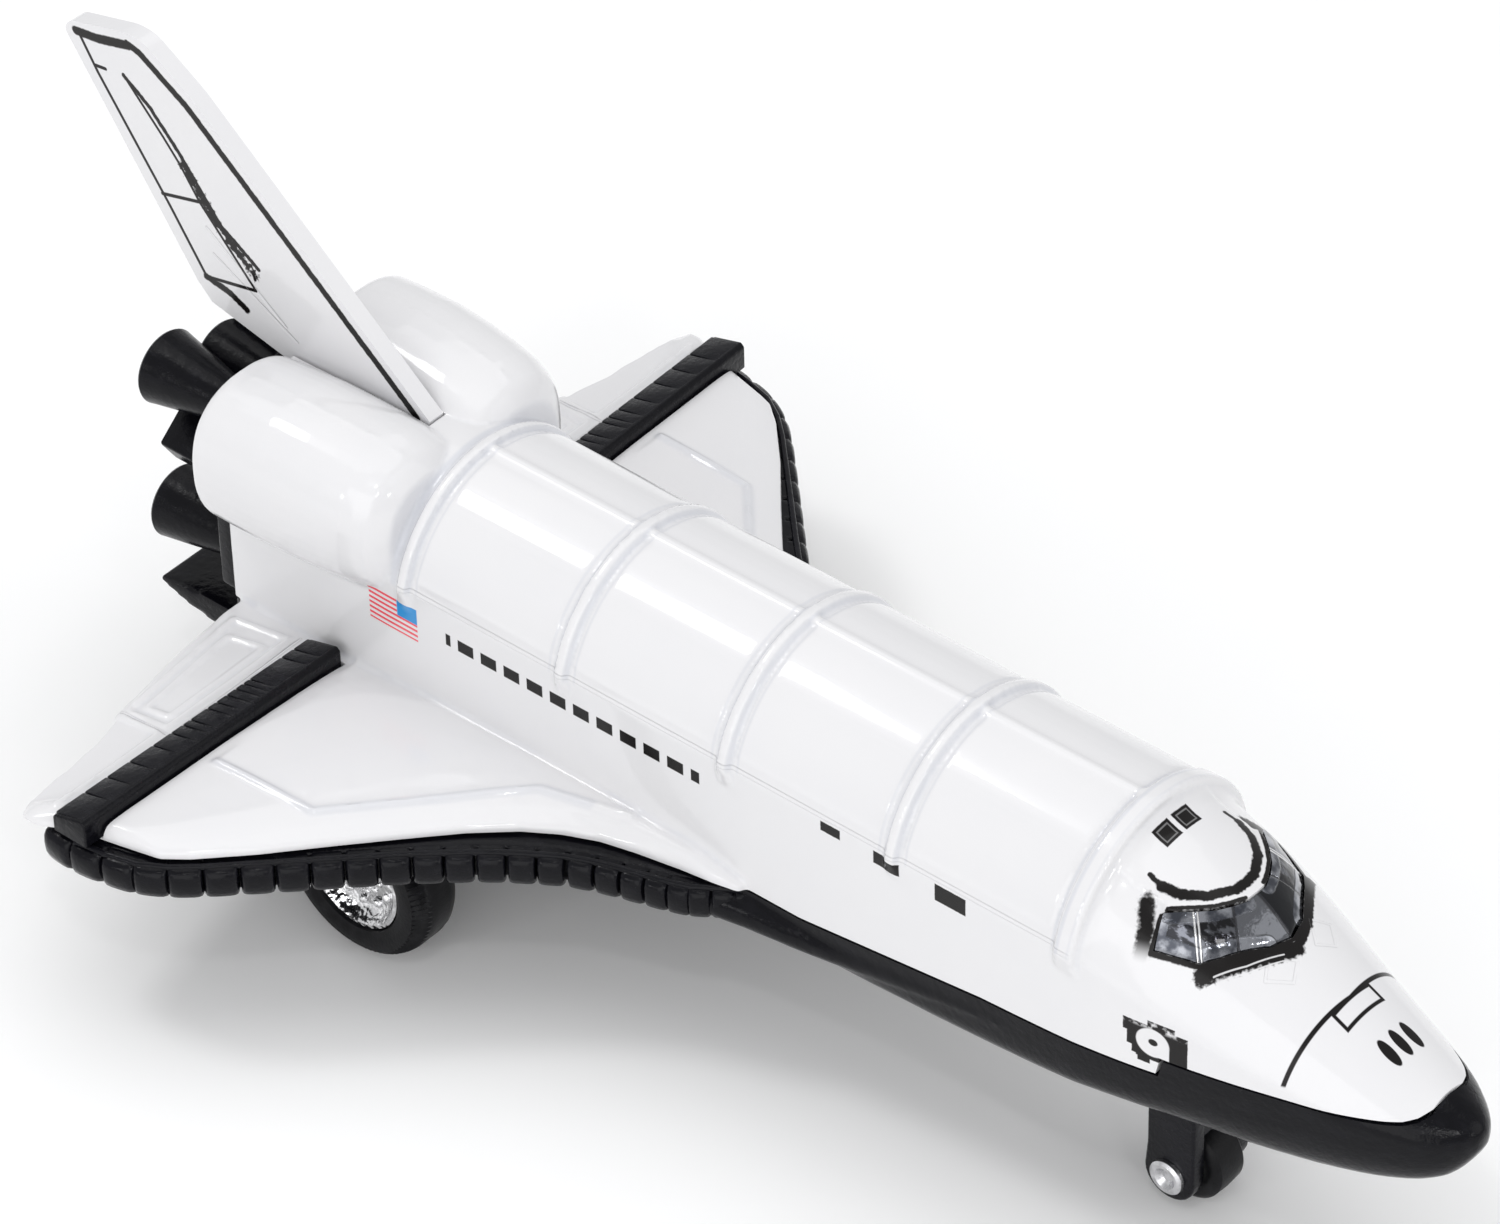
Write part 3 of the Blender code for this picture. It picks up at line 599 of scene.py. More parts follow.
class Value:
    """One output of a material's node, with arithmetic that adds Math nodes."""

    def __init__(self, recipe: "Recipe", socket: bpy.types.NodeSocket) -> None:
        """Wraps a socket.

        Args:
            recipe: The material it belongs to.
            socket: The output.
        """
        self.recipe = recipe
        self.socket = socket

    def math(self, operation: str, *others: "Value | float", held: bool = False) -> "Value":
        """Adds a Math node after this value.

        Args:
            operation: Name of the operation.
            others: Its other inputs.
            held: Whether the result is held between 0 and 1.

        Returns:
            The result.
        """
        inputs = {index: item for index, item in enumerate((self, *others))}
        node = self.recipe.node("ShaderNodeMath", {"operation": operation, "use_clamp": held}, inputs)
        return Value(self.recipe, node.outputs[0])

    def __add__(self, other: "Value | float") -> "Value":
        """Sum."""
        return self.math("ADD", other)

    def __radd__(self, other: float) -> "Value":
        """Sum with a number in front."""
        return self.math("ADD", other)

    def __sub__(self, other: "Value | float") -> "Value":
        """Difference."""
        return self.math("SUBTRACT", other)

    def __rsub__(self, other: float) -> "Value":
        """Number less this value."""
        return (self * -1.0) + other

    def __mul__(self, other: "Value | float") -> "Value":
        """Product."""
        return self.math("MULTIPLY", other)

    def __rmul__(self, other: float) -> "Value":
        """Product with a number in front."""
        return self.math("MULTIPLY", other)

    def __abs__(self) -> "Value":
        """Size without sign."""
        return self.math("ABSOLUTE")

    def least(self, other: "Value | float") -> "Value":
        """The smaller of two."""
        return self.math("MINIMUM", other)

    def most(self, other: "Value | float") -> "Value":
        """The larger of two."""
        return self.math("MAXIMUM", other)

    def held(self) -> "Value":
        """Value held between 0 and 1."""
        return self.math("ADD", 0.0, held=True)

    def rise(self, low: float, high: float) -> "Value":
        """Soft step from 0 at low to 1 at high.

        Args:
            low: Where the step starts.
            high: Where it ends; it may lie below low for a fall.

        Returns:
            The step.
        """
        node = self.recipe.node(
            "ShaderNodeMapRange",
            {"interpolation_type": "SMOOTHSTEP", "clamp": True},
            {"Value": self, "From Min": low, "From Max": high, "To Min": 0.0, "To Max": 1.0},
        )
        return Value(self.recipe, node.outputs[0])


Colour = tuple[float, float, float]


class Recipe:
    """A node material in the making."""

    def __init__(self, name: str) -> None:
        """Starts a material with one Principled shader.

        Args:
            name: Name of the material.
        """
        self.material = bpy.data.materials.new(name)
        self.material.use_nodes = True
        self.tree = self.material.node_tree
        self.shader = self.tree.nodes["Principled BSDF"]
        place = self.node("ShaderNodeTexCoord", {}, {})
        self.object_place = place.outputs["Object"]
        scaled = self.node(
            "ShaderNodeVectorMath", {"operation": "SCALE"}, {0: self.object_place, "Scale": 1.0 / MM}
        )
        self.millimetres = scaled.outputs[0]
        parts = self.node("ShaderNodeSeparateXYZ", {}, {0: self.millimetres})
        self.x = Value(self, parts.outputs[0])
        self.y = Value(self, parts.outputs[1])
        self.z = Value(self, parts.outputs[2])
        self.station = self.y + LENGTH / 2.0

    def node(self, kind: str, settings: dict, inputs: dict) -> bpy.types.Node:
        """Adds a node.

        Args:
            kind: Type of the node.
            settings: Its properties, set first.
            inputs: Values or links of its sockets, by name or number.

        Returns:
            The node.
        """
        made = self.tree.nodes.new(kind)
        for key, value in settings.items():
            setattr(made, key, value)
        for key, value in inputs.items():
            self.feed(made.inputs[key], value)
        return made

    def feed(self, socket: bpy.types.NodeSocket, value: object) -> None:
        """Links or sets a socket.

        Args:
            socket: The input.
            value: A Value, an output socket, a number or a tuple.
        """
        if isinstance(value, Value):
            self.tree.links.new(value.socket, socket)
        elif isinstance(value, bpy.types.NodeSocket):
            self.tree.links.new(value, socket)
        elif isinstance(value, tuple) and len(value) == 3 and len(socket.default_value) == 4:
            socket.default_value = (*value, 1.0)
        else:
            socket.default_value = value

    def noise(self, scale: float, detail: float = 3.0, stretch: Spot = (1.0, 1.0, 1.0)) -> Value:
        """Even noise from 0 to 1.

        Args:
            scale: Cells in a millimetre.
            detail: Octaves.
            stretch: How much finer the noise is along each axis.

        Returns:
            The noise.
        """
        turned = self.node("ShaderNodeMapping", {}, {"Vector": self.millimetres, "Scale": stretch})
        made = self.node(
            "ShaderNodeTexNoise", {}, {"Vector": turned.outputs[0], "Scale": scale, "Detail": detail}
        )
        return Value(self, made.outputs[0])

    def tint(self, share: Value | float, low: object, high: object) -> bpy.types.NodeSocket:
        """Mix of two colours.

        Args:
            share: Share of the second.
            low: First colour or socket.
            high: Second colour or socket.

        Returns:
            The mixed colour.
        """
        made = self.node("ShaderNodeMix", {"data_type": "RGBA"}, {0: share, 6: low, 7: high})
        return made.outputs[2]

    def gap_to(self, u: Value, v: Value, centre: Plane, half: Plane) -> Value:
        """Distance outside a rectangle, below zero inside.

        Args:
            u: First coordinate.
            v: Second coordinate.
            centre: Middle of the rectangle.
            half: Half its sides.

        Returns:
            The larger of the two distances.
        """
        return (abs(u - centre[0]) - half[0]).most(abs(v - centre[1]) - half[1])

    def patch(self, u: Value, v: Value, low: Plane, high: Plane, soft: float = 0.06) -> Value:
        """Mask of a rectangle between two corners.

        Args:
            u: First coordinate.
            v: Second coordinate.
            low: Lowest corner.
            high: Highest corner.
            soft: Width of the edge.

        Returns:
            1 inside and 0 outside.
        """
        centre = ((low[0] + high[0]) / 2.0, (low[1] + high[1]) / 2.0)
        half = ((high[0] - low[0]) / 2.0, (high[1] - low[1]) / 2.0)
        return self.gap_to(u, v, centre, half).rise(soft, -soft)

    def disc(self, u: Value, v: Value, centre: Plane, radii: Plane) -> Value:
        """Size of a point in an ellipse's own units, 1 on its edge.

        Args:
            u: First coordinate.
            v: Second coordinate.
            centre: Middle of the ellipse.
            radii: Its two radii.

        Returns:
            The size.
        """
        across = (u - centre[0]) * (1.0 / radii[0])
        along = (v - centre[1]) * (1.0 / radii[1])
        return (across * across + along * along).math("SQRT")

    def stroke(self, u: Value, v: Value, points: Sequence[Plane]) -> Value:
        """Distance from a line through points.

        Args:
            u: First coordinate.
            v: Second coordinate.
            points: Corners of the line.

        Returns:
            The distance in millimetres.
        """
        here = self.node("ShaderNodeCombineXYZ", {}, {0: u, 1: v}).outputs[0]
        nearest = None
        for (u0, v0), (u1, v1) in zip(points, points[1:]):
            run = Vector((u1 - u0, v1 - v0))
            from_start = self.node(
                "ShaderNodeVectorMath", {"operation": "SUBTRACT"}, {0: here, 1: (u0, v0, 0.0)}
            ).outputs[0]
            pull = run / run.length_squared
            along = self.node(
                "ShaderNodeVectorMath", {"operation": "DOT_PRODUCT"}, {0: from_start, 1: (*pull, 0.0)}
            ).outputs["Value"]
            share = Value(self, along).held()
            foot = self.node(
                "ShaderNodeVectorMath", {"operation": "SCALE"}, {0: (*run, 0.0), "Scale": share}
            ).outputs[0]
            off = self.node(
                "ShaderNodeVectorMath", {"operation": "DISTANCE"}, {0: from_start, 1: foot}
            ).outputs["Value"]
            distance = Value(self, off)
            nearest = distance if nearest is None else nearest.least(distance)
        return nearest

    def hollow(self, u: Value, v: Value, points: Sequence[Plane], width: float) -> Value:
        """Mask of a thin line through points, 1 on the line.

        Args:
            u: First coordinate.
            v: Second coordinate.
            points: Corners of the line.
            width: Its half width.

        Returns:
            The mask.
        """
        return self.stroke(u, v, points).rise(width, width * 0.3)

    def bump(self, height: Value, depth: float, strength: float = 1.0) -> None:
        """Raises the surface by a height map.

        Args:
            height: The map.
            depth: Height in millimetres where the map is 1.
            strength: Share of the effect.
        """
        made = self.node(
            "ShaderNodeBump", {}, {"Height": height, "Distance": depth * MM, "Strength": strength}
        )
        self.feed(self.shader.inputs["Normal"], made.outputs[0])

    def fixed(self, **values: object) -> None:
        """Sets constant sockets of the shader, named with underscores for spaces."""
        for key, value in values.items():
            self.feed(self.shader.inputs[key.replace("_", " ")], value)


@dataclass(frozen=True)
class Enamel:
    """Glossy white paint on the casting."""

    colour: Colour = (0.748, 0.743, 0.751)
    # Grey for random tone in the paint and for painted shade in its creases
    shade: Colour = (0.62, 0.63, 0.67)
    gloss: float = 0.20
    ink: Colour = (0.006, 0.005, 0.005)

    coat: float = 0.6

    def start(self, name: str) -> tuple[Recipe, bpy.types.NodeSocket, Value]:
        """Plain paint that marks go on, greyed in its creases as painted shade.

        Args:
            name: Name of the material.

        Returns:
            The recipe, the paint's colour and its height map.
        """
        recipe = Recipe(name)
        cloud = recipe.noise(0.09, 2.0)
        geometry = recipe.node("ShaderNodeNewGeometry", {}, {})
        # Painted shade: concave creases, found from the mesh's pointiness, are greyed towards the shade colour.
        corner = Value(recipe, geometry.outputs["Pointiness"]).rise(0.497, 0.455)
        paint = recipe.tint(cloud * 0.25, self.colour, self.shade)
        paint = recipe.tint(corner * 0.55, paint, self.shade)
        recipe.feed(recipe.shader.inputs["Roughness"], recipe.noise(0.5, 4.0) * 0.10 + (self.gloss - 0.05))
        recipe.fixed(Coat_Roughness=0.05, Specular_IOR_Level=0.2)
        ripple = recipe.noise(0.35, 2.0) * 0.55 + recipe.noise(2.6, 2.0) * 0.07
        return recipe, paint, ripple

    def mark(self, recipe: Recipe, paint: bpy.types.NodeSocket, ink: Value) -> bpy.types.NodeSocket:
        """Lays dull black ink over the paint, where the clear coat ends.

        Args:
            recipe: The material.
            paint: Colour under the ink.
            ink: Mask of the ink.

        Returns:
            The colour with the ink.
        """
        recipe.feed(recipe.shader.inputs["Coat Weight"], ink * -self.coat * 0.9 + self.coat)
        return recipe.tint(ink, paint, self.ink)


@dataclass(frozen=True)
class Moulding:
    """Semi-gloss moulded black plastic."""

    colour: Colour = (0.003, 0.003, 0.0045)
    worn: Colour = (0.012, 0.012, 0.016)
    roughness: float = 0.10
    grain: float = 0.06

    def dress(self, name: str) -> bpy.types.Material:
        """The material.

        Args:
            name: Its name.

        Returns:
            The finished material.
        """
        recipe = Recipe(name)
        geometry = recipe.node("ShaderNodeNewGeometry", {}, {})
        edge = Value(recipe, geometry.outputs["Pointiness"]).rise(0.52, 0.60)
        streak = recipe.noise(0.8, 4.0, (1.0, 0.25, 1.0)).rise(0.45, 0.75)
        colour = recipe.tint(edge * 0.4 + streak * 0.25, self.colour, self.worn)
        recipe.feed(recipe.shader.inputs["Base Color"], colour)
        recipe.feed(recipe.shader.inputs["Roughness"], streak * 0.14 + self.roughness)
        recipe.fixed(Specular_IOR_Level=0.15)
        recipe.bump(recipe.noise(1.2, 3.0) + recipe.noise(6.0, 2.0) * 0.3, self.grain)
        return recipe.material


@dataclass(frozen=True)
class Plating:
    """Bright metal, smooth or crinkled."""

    colour: Colour = (0.86, 0.86, 0.87)
    roughness: float = 0.10
    crinkle: float = 0.0
    scale: float = 0.9

    def dress(self, name: str) -> bpy.types.Material:
        """The material.

        Args:
            name: Its name.

        Returns:
            The finished material.
        """
        recipe = Recipe(name)
        smear = recipe.noise(0.9, 4.0)
        dim = tuple(part * 0.62 for part in self.colour)
        recipe.feed(recipe.shader.inputs["Base Color"], recipe.tint(smear.rise(0.35, 0.8), self.colour, dim))
        recipe.feed(recipe.shader.inputs["Roughness"], smear * 0.14 + self.roughness)
        recipe.fixed(Metallic=1.0)
        recipe.bump(recipe.noise(self.scale, 1.5), max(self.crinkle, 0.01))
        return recipe.material


@dataclass(frozen=True)
class Rubber:
    """Soft black vinyl of the wheels."""

    colour: Colour = (0.005, 0.005, 0.006)
    dust: Colour = (0.018, 0.018, 0.020)

    def dress(self, name: str) -> bpy.types.Material:
        """The material.

        Args:
            name: Its name.

        Returns:
            The finished material.
        """
        recipe = Recipe(name)
        haze = recipe.noise(0.5, 4.0).rise(0.42, 0.72)
        recipe.feed(recipe.shader.inputs["Base Color"], recipe.tint(haze * 0.5, self.colour, self.dust))
        recipe.feed(recipe.shader.inputs["Roughness"], haze * 0.15 + 0.33)
        recipe.fixed(Specular_IOR_Level=0.15)
        recipe.bump(recipe.noise(3.0, 3.0), 0.03)
        return recipe.material


def piece(
    source: Form | bpy.types.Mesh,
    name: str,
    finish: bpy.types.Material,
    body: str,
    stands_for: Sequence[str] = (),
    crease: float = 38.0,
) -> bpy.types.Object:
    """Finished object of the model.

    Args:
        source: Its form, or a mesh in millimetres.
        name: Plain name.
        finish: Its material.
        body: The body it moves with.
        stands_for: Nodes that it replaces.
        crease: Angle in degrees from which an edge shows sharp.

    Returns:
        The object.
    """
    data = source.data(name) if isinstance(source, Form) else source
    data.transform(Matrix.Scale(MM, 4))
    data.shade_smooth()
    data.set_sharp_from_angle(angle=math.radians(crease))
    data.materials.clear()
    data.materials.append(finish)
    made = loose_object(data, name)
    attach(made, body)
    if stands_for:
        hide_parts(*stands_for)
    log.info("%s: %d faces", name, len(data.polygons))
    return made


@dataclass
class Hull:
    """Shape of the fuselage that the casting and the base share."""

    low_power: float = 3.2
    low_steps: int = 10
    arc_steps: int = 22

    def __post_init__(self) -> None:
        """Draws the smooth lines through the sections."""
        self.lines = tracks(SECTIONS)

    def half(self, station: float, grow: float = 0.0) -> list[Plane]:
        """Right half of the section, from belly to top.

        Args:
            station: Where the section is.
            grow: How far it stands outside the measured skin.

        Returns:
            Points as x and height.
        """
        width, belly, foot, sill, _ = (line.at(station) for line in self.lines)
        foot = min(foot, sill - 0.1)
        low = []
        for index in range(self.low_steps + 1):
            angle = math.pi / 2 * index / self.low_steps
            c, s = math.cos(angle) ** (2.0 / self.low_power), math.sin(angle) ** (2.0 / self.low_power)
            low.append(((width + grow) * c, foot - (foot - belly + grow) * s))
        return list(reversed(low)) + self.arch(station, grow)

    def arch(self, station: float, grow: float = 0.0) -> list[Plane]:
        """Arc over the top of the section, from the sill to the centre line.

        Args:
            station: Where the section is.
            grow: How far it stands outside the measured skin.

        Returns:
            Points as x and height.
        """
        width, _, _, sill, top = (line.at(station) for line in self.lines)
        width, top = width + grow, top + grow
        rise = top - sill
        radius = (width**2 + rise**2) / (2.0 * rise)
        centre = top - radius
        start = math.atan2(sill - centre, width)
        points = []
        for index in range(self.arc_steps + 1):
            angle = start + (math.pi / 2 - start) * index / self.arc_steps
            points.append((radius * math.cos(angle), centre + radius * math.sin(angle)))
        points[-1] = (0.0, top)
        return points

    def top_at(self, x: float, station: float) -> float:
        """Height of the skin above a point.

        Args:
            x: Half span position.
            station: Station.

        Returns:
            The height.
        """
        points = self.arch(station)
        for (x0, z0), (x1, z1) in zip(points, points[1:]):
            if x1 <= abs(x) <= x0:
                return z0 + (z1 - z0) * (x0 - abs(x)) / max(x0 - x1, 1e-6)
        return points[0][1]

    def loft(self, form: Form) -> None:
        """Adds the whole fuselage to a form."""
        stops = [0.0, 0.25, 0.5, 0.8, 1.2, 1.8, 2.6, 3.5, 4.6]
        stops += [6.0 + 1.5 * index for index in range(24)]
        stops += [41.6, 42.2, 43.0]
        stops += [46.0 + 4.0 * index for index in range(24)]
        stops += [140.0, 148.0, 156.0, 165.4]
        rings = []
        for station in stops:
            outline = mirrored(self.half(station))
            rings.append([(x, station_y(station), z) for x, z in outline])
        form.loft(rings)


HULL = Hull()


def parting_cutter(above: bool, gap: float) -> Form:
    """Solid on one side of the parting line.

    Args:
        above: Whether it takes what lies above the line.
        gap: How far it reaches over the line.

    Returns:
        The cutter.
    """
    sign = -1.0 if above else 1.0
    line = [(station_y(210.0), PARTING[0][1] + sign * gap)]
    line += [(station_y(station + sign * gap), height + sign * gap) for station, height in PARTING]
    line.append((station_y(PARTING[-1][0] + sign * gap), 100.0))
    if above:
        line.append((station_y(210.0), 100.0))
    else:
        line += [(station_y(-20.0), 100.0), (station_y(-20.0), -20.0), (station_y(210.0), -20.0)]
    form = Form()
    form.slab(line, -70.0, 70.0, Axis.X)
    return form


@dataclass
class Casting:
    """White upper casting with its wings, pods, door ribs and printed marks."""

    grain: float = 0.33
    gap: float = GAP
    rib_front: float = 43.7
    rib_pitch: float = 23.35
    rib_count: int = 5
    rib_width: float = 1.3
    rib_height: float = 0.72
    door_lift: float = 0.24
    door_margin: float = 1.15
    pod_sides: int = 48
    pod_power: float = 2.4
    spine_height: float = 51.05
    spine_radius: float = 0.75
    brow_half: float = 7.6
    brow_lift: float = 1.15
    brow_depth: float = 3.2
    sill: float = 39.8

    def build(self) -> bpy.types.Object:
        """Builds the casting.

        Returns:
            The finished piece.
        """
        form = Form()
        HULL.loft(form)
        self.wings(form)
        self.pods(form)
        self.ribs(form)
        self.brow(form)
        mesh = cast_skin(form, "upper_casting", self.grain, 0.45, (self.cuts(),))
        return piece(
            mesh, "upper_casting", self.dress(), "shuttle", ("body_shell",), 50.0
        )

    def wings(self, form: Form) -> None:
        """Adds both wings with their raised fields."""
        lines = tracks(WING)
        spans = [
            0.0, 14.0, 15.4, 16.0, 16.6, 17.6, 18.7, 20.5, 23.0, 27.0,
            32.3, 38.0, 44.0, 49.2, 51.3, 52.5, 53.6, 54.8, 55.9,
        ]
        whole = [-x for x in reversed(spans[1:])] + spans
        form.loft([self.wing_ring(x, [line.at(abs(x)) for line in lines]) for x in whole])
        for side in (-1, 1):
            outline = [(side * x, station_y(s)) for x, s in WING_FIELD]
            for vert in form.slab(outline, 24.2, 26.0, Axis.Z):
                if vert.co.z > 25.0:
                    vert.co.z = self.wing_top(vert.co.x, vert.co.y + LENGTH / 2.0) + 0.2
            self.ridge(form, side, WING_FIELD[1:-1], 0.42)
            inner = ((17.0, 162.0), (15.9, 154.3), (35.4, 154.6), (35.9, 160.4), (17.0, 162.0))
            self.ridge(form, side, inner, 0.32)
            middle = ((19.6, 160.4), (18.6, 155.6), (33.8, 155.8), (34.2, 159.0), (19.6, 160.4))
            self.ridge(form, side, middle, 0.28)
            outer = ((36.9, 160.4), (36.6, 154.6), (53.2, 154.4))
            self.ridge(form, side, outer, 0.32)

    def wing_top(self, x: float, station: float) -> float:
        """Height of the wing's top face above a point.

        Args:
            x: Half span position, with or without its sign.
            station: Station.

        Returns:
            The height.
        """
        values = [line.at(abs(x)) for line in tracks(WING)]
        upper = [(y + LENGTH / 2.0, z) for _, y, z in self.wing_ring(x, values)[4:-2]]
        for (s0, z0), (s1, z1) in zip(upper, upper[1:]):
            if s0 <= station <= s1:
                return z0 + (z1 - z0) * (station - s0) / (s1 - s0)
        return upper[0][1] if station < upper[0][0] else upper[-1][1]

    def ridge(self, form: Form, side: int, outline: Sequence[Plane], radius: float) -> None:
        """Adds a thin raised line on a wing.

        Args:
            form: The form.
            side: -1 for the left, 1 for the right.
            outline: Corners as half span position and station.
            radius: Its radius.
        """
        for (x0, s0), (x1, s1) in zip(outline, outline[1:]):
            path = [
                (side * x, station_y(s), self.wing_top(x, s) + 0.06)
                for x, s in ((x0, s0), ((x0 + x1) / 2.0, (s0 + s1) / 2.0), (x1, s1))
            ]
            form.tube(path, [radius] * 3, 8)

    def wing_ring(self, x: float, values: Sequence[float]) -> list[Spot]:
        """Chordwise section of the wing.

        Args:
            x: Half span position with its side's sign.
            values: Leading edge, trailing edge, front, top and back heights.

        Returns:
            Points of the ring.
        """
        lead, trail, front, top, back = values
        chord = trail - lead
        outline = [
            (lead + 3.0, 22.4), (lead, 23.3), (lead - 0.05, 23.9),
            (lead + 0.1, front - 0.1), (lead + 0.7, front + 0.15),
        ]
        for share, drop in ((0.08, 0.55), (0.15, 0.18), (0.22, 0.0), (0.40, 0.02)):
            outline.append((lead + share * chord, top - drop))
        for share, drop in ((0.60, 0.12), (0.8, 0.75)):
            outline.append((lead + share * chord, top - drop * (top - back)))
        outline += [(trail - 0.4, back + 0.1), (trail, back - 0.3), (trail, 22.4)]
        return [(x, station_y(s), z) for s, z in outline]

    def pods(self, form: Form) -> None:
        """Adds the two rounded pods beside the fin, each with a ridge along its top."""
        lines = tracks(PODS)
        stops = [
            139.2, 139.35, 139.7, 140.3, 141.0, 142.5, 144.0,
            147.0, 151.0, 156.0, 161.0, 164.4, 165.1, 165.4,
        ]
        for side in (-1, 1):
            rings = []
            for station in stops:
                centre_x, centre_z, half_width, half_height = (line.at(station) for line in lines)
                trim = 0.0 if station < 165.0 else 0.25 if station < 165.3 else 0.6
                ring = []
                for index in range(self.pod_sides):
                    angle = WHOLE_TURN * index / self.pod_sides
                    c, s = math.cos(angle), math.sin(angle)
                    x = math.copysign(abs(c) ** (2.0 / self.pod_power), c) * (half_width - trim)
                    z = math.copysign(abs(s) ** (2.0 / self.pod_power), s) * (half_height - trim)
                    ring.append((side * (centre_x + x), station_y(station), centre_z + z))
                rings.append(ring)
            form.loft(rings)
            crest = []
            for station in (141.6, 143.0, 146.0, 151.0, 156.0, 160.0, 164.6):
                centre_x, centre_z, _, half_height = (line.at(station) for line in lines)
                crest.append((side * (centre_x + 0.6), station_y(station), centre_z + half_height - 0.42))
            form.tube(crest, [0.5] * len(crest), 10)

    def ribs(self, form: Form) -> None:
        """Adds the door ribs, the ridge along the spine and the lifted door panels."""
        for index in range(self.rib_count):
            middle = self.rib_front + self.rib_pitch * index
            half = self.rib_width / 2.0 + (0.6 if index == 0 else 0.0)
            self.band(form, middle - half, middle + half, self.rib_height, 0.0)
            if index < self.rib_count - 1:
                start = middle + half + self.door_margin
                end = middle + self.rib_pitch - self.rib_width / 2.0 - self.door_margin
                self.band(form, start, end, self.door_lift, 0.9)
        stops = (44.0, 60.0, 80.0, 100.0, 120.0, 137.0)
        spine = [(0.0, station_y(station), self.spine_height) for station in stops]
        form.tube(spine, [self.spine_radius] * len(spine), 12)

    def band(self, form: Form, start: float, end: float, lift: float, rise: float) -> None:
        """Adds a band of skin over the top of the fuselage.

        Args:
            form: The form.
            start: First station.
            end: Last station.
            lift: How far it stands proud.
            rise: How far its feet stay above the sill.
        """
        arch = [(x, z) for x, z in HULL.arch(100.0, lift) if z >= self.sill + rise]
        foot = (arch[0][0], self.sill + rise)
        outline = mirrored([(0.0, 36.0), (foot[0] - 1.0, 36.0), foot, *arch])
        form.slab(outline, station_y(start), station_y(end), Axis.Y)

    def brow(self, form: Form) -> None:
        """Adds the raised front edge of the roof above the cockpit windows."""
        places = (0.0, 1.6, 3.4, 5.2, 6.7, self.brow_half)
        front = Track(places, (29.7, 29.8, 30.7, 32.2, 34.2, 36.0))
        columns, rows = 16, 9
        rings = []
        for row in range(rows):
            share = row / (rows - 1)
            top, bottom = [], []
            for column in range(-columns, columns + 1):
                across = column / columns
                x = self.brow_half * across
                station = front.at(abs(x)) * (1.0 - share) + self.rib_front * share
                lift = self.brow_lift * (1.0 - share) ** 0.9 * (1.0 - 0.45 * abs(across) ** 4)
                z = HULL.top_at(x, station) + lift
                top.append((x, station_y(station), z))
                bottom.append((x, station_y(station), z - self.brow_depth))
            rings.append(top + list(reversed(bottom)))
        form.loft(rings)
        rim = [(x, y - 0.05, z - 0.30) for x, y, z in rings[0][: 2 * columns + 1]]
        form.tube(rim, [0.5] * len(rim), 12)

    def cuts(self) -> Form:
        """Solids taken out of the casting."""
        form = parting_cutter(False, self.gap / 2.0)
        slot = FIN_HALF + self.gap
        form.block((-slot, station_y(144.5), 44.7), (slot, station_y(170.0), 60.0))
        for side in (-1, 1):
            low, high = side * (STRIP_INNER - self.gap), side * (STRIP_OUTER + self.gap)
            front, rear = station_y(STRIP_FRONT - self.gap), station_y(STRIP_REAR + self.gap)
            seat = [(low, front), (high, front + STRIP_SWEEP), (high, rear + STRIP_SWEEP), (low, rear)]
            form.slab(seat, 23.9, 30.0, Axis.Z)
        seat = widened(mirrored(WINDOW), self.gap / 2.0)
        form.slab([(x, station_y(s)) for x, s in seat], 37.0, 60.0, Axis.Z)
        return form

    def dress(self) -> bpy.types.Material:
        """White paint with painted shade in its creases, the printed marks and fine mould lines."""
        enamel = Enamel()
        recipe, paint, ripple = enamel.start("painted_casting")
        rough = recipe.noise(2.2, 4.0) - 0.5
        print_edge = rough * 0.10
        ink = self.side_marks(recipe, print_edge)
        ink = ink.most(self.nose_marks(recipe, print_edge))
        soot = self.window_soot(recipe, rough)
        black = ink.most(soot)
        # Painted shade: bluish grey laid along the rib feet, the door edges and beside the wing fields.
        paint = recipe.tint(self.painted_crease_shade(recipe) * 0.42, paint, (0.52, 0.54, 0.60))
        colour = enamel.mark(recipe, paint, black)
        colour = self.patch_of_stripes(recipe, colour)
        recipe.feed(recipe.shader.inputs["Base Color"], colour)
        lines = self.mould_lines(recipe)
        recipe.bump(ripple * 0.04 - lines * 0.6, 0.22)
        return recipe.material

    def side_marks(self, recipe: Recipe, wobble: Value) -> Value:
        """Small dark windows and the hatch mark on both sides.

        Args:
            recipe: The material.
            wobble: Unevenness of the printed edge.

        Returns:
            Mask of the ink.
        """
        x, s, z = recipe.x, recipe.station, recipe.z
        on_side = abs(x).rise(11.0, 11.6)
        marks = None
        panes = (
            ((74.2, 38.3), (76.9, 39.6)),
            ((66.0, 37.8), (69.6, 39.5)),
            ((57.0, 37.3), (61.2, 39.6)),
        )
        for low, high in panes:
            mark = recipe.patch(s + wobble, z + wobble, low, high)
            marks = mark if marks is None else marks.most(mark)
        hatch = None
        steps = (
            ((28.9, 30.2), (34.9, 34.9)),
            ((30.4, 34.5), (33.6, 35.6)),
            ((34.4, 33.2), (36.5, 34.9)),
            ((34.4, 31.4), (36.0, 33.4)),
            ((34.2, 30.4), (35.4, 31.6)),
            ((33.2, 29.6), (34.7, 30.8)),
        )
        for low, high in steps:
            block = recipe.patch(s + wobble, z + wobble, low, high)
            hatch = block if hatch is None else hatch.most(block)
        hole = recipe.disc(s, z, (32.95, 32.65), (1.95, 1.9)).rise(1.05, 0.95)
        hole = hole.most(recipe.patch(s, z, (31.0, 30.9), (33.0, 32.6)))
        dot = recipe.disc(s, z, (32.9, 32.75), (0.55, 0.45)).rise(1.15, 0.85)
        worn = recipe.noise(1.1, 3.0).rise(0.72, 0.45).most(z.rise(34.9, 34.2))
        marks = marks.most(hatch * (1.0 - hole) * worn).most(dot)
        dashes = self.dashes(recipe)
        return (marks * on_side).most(dashes)

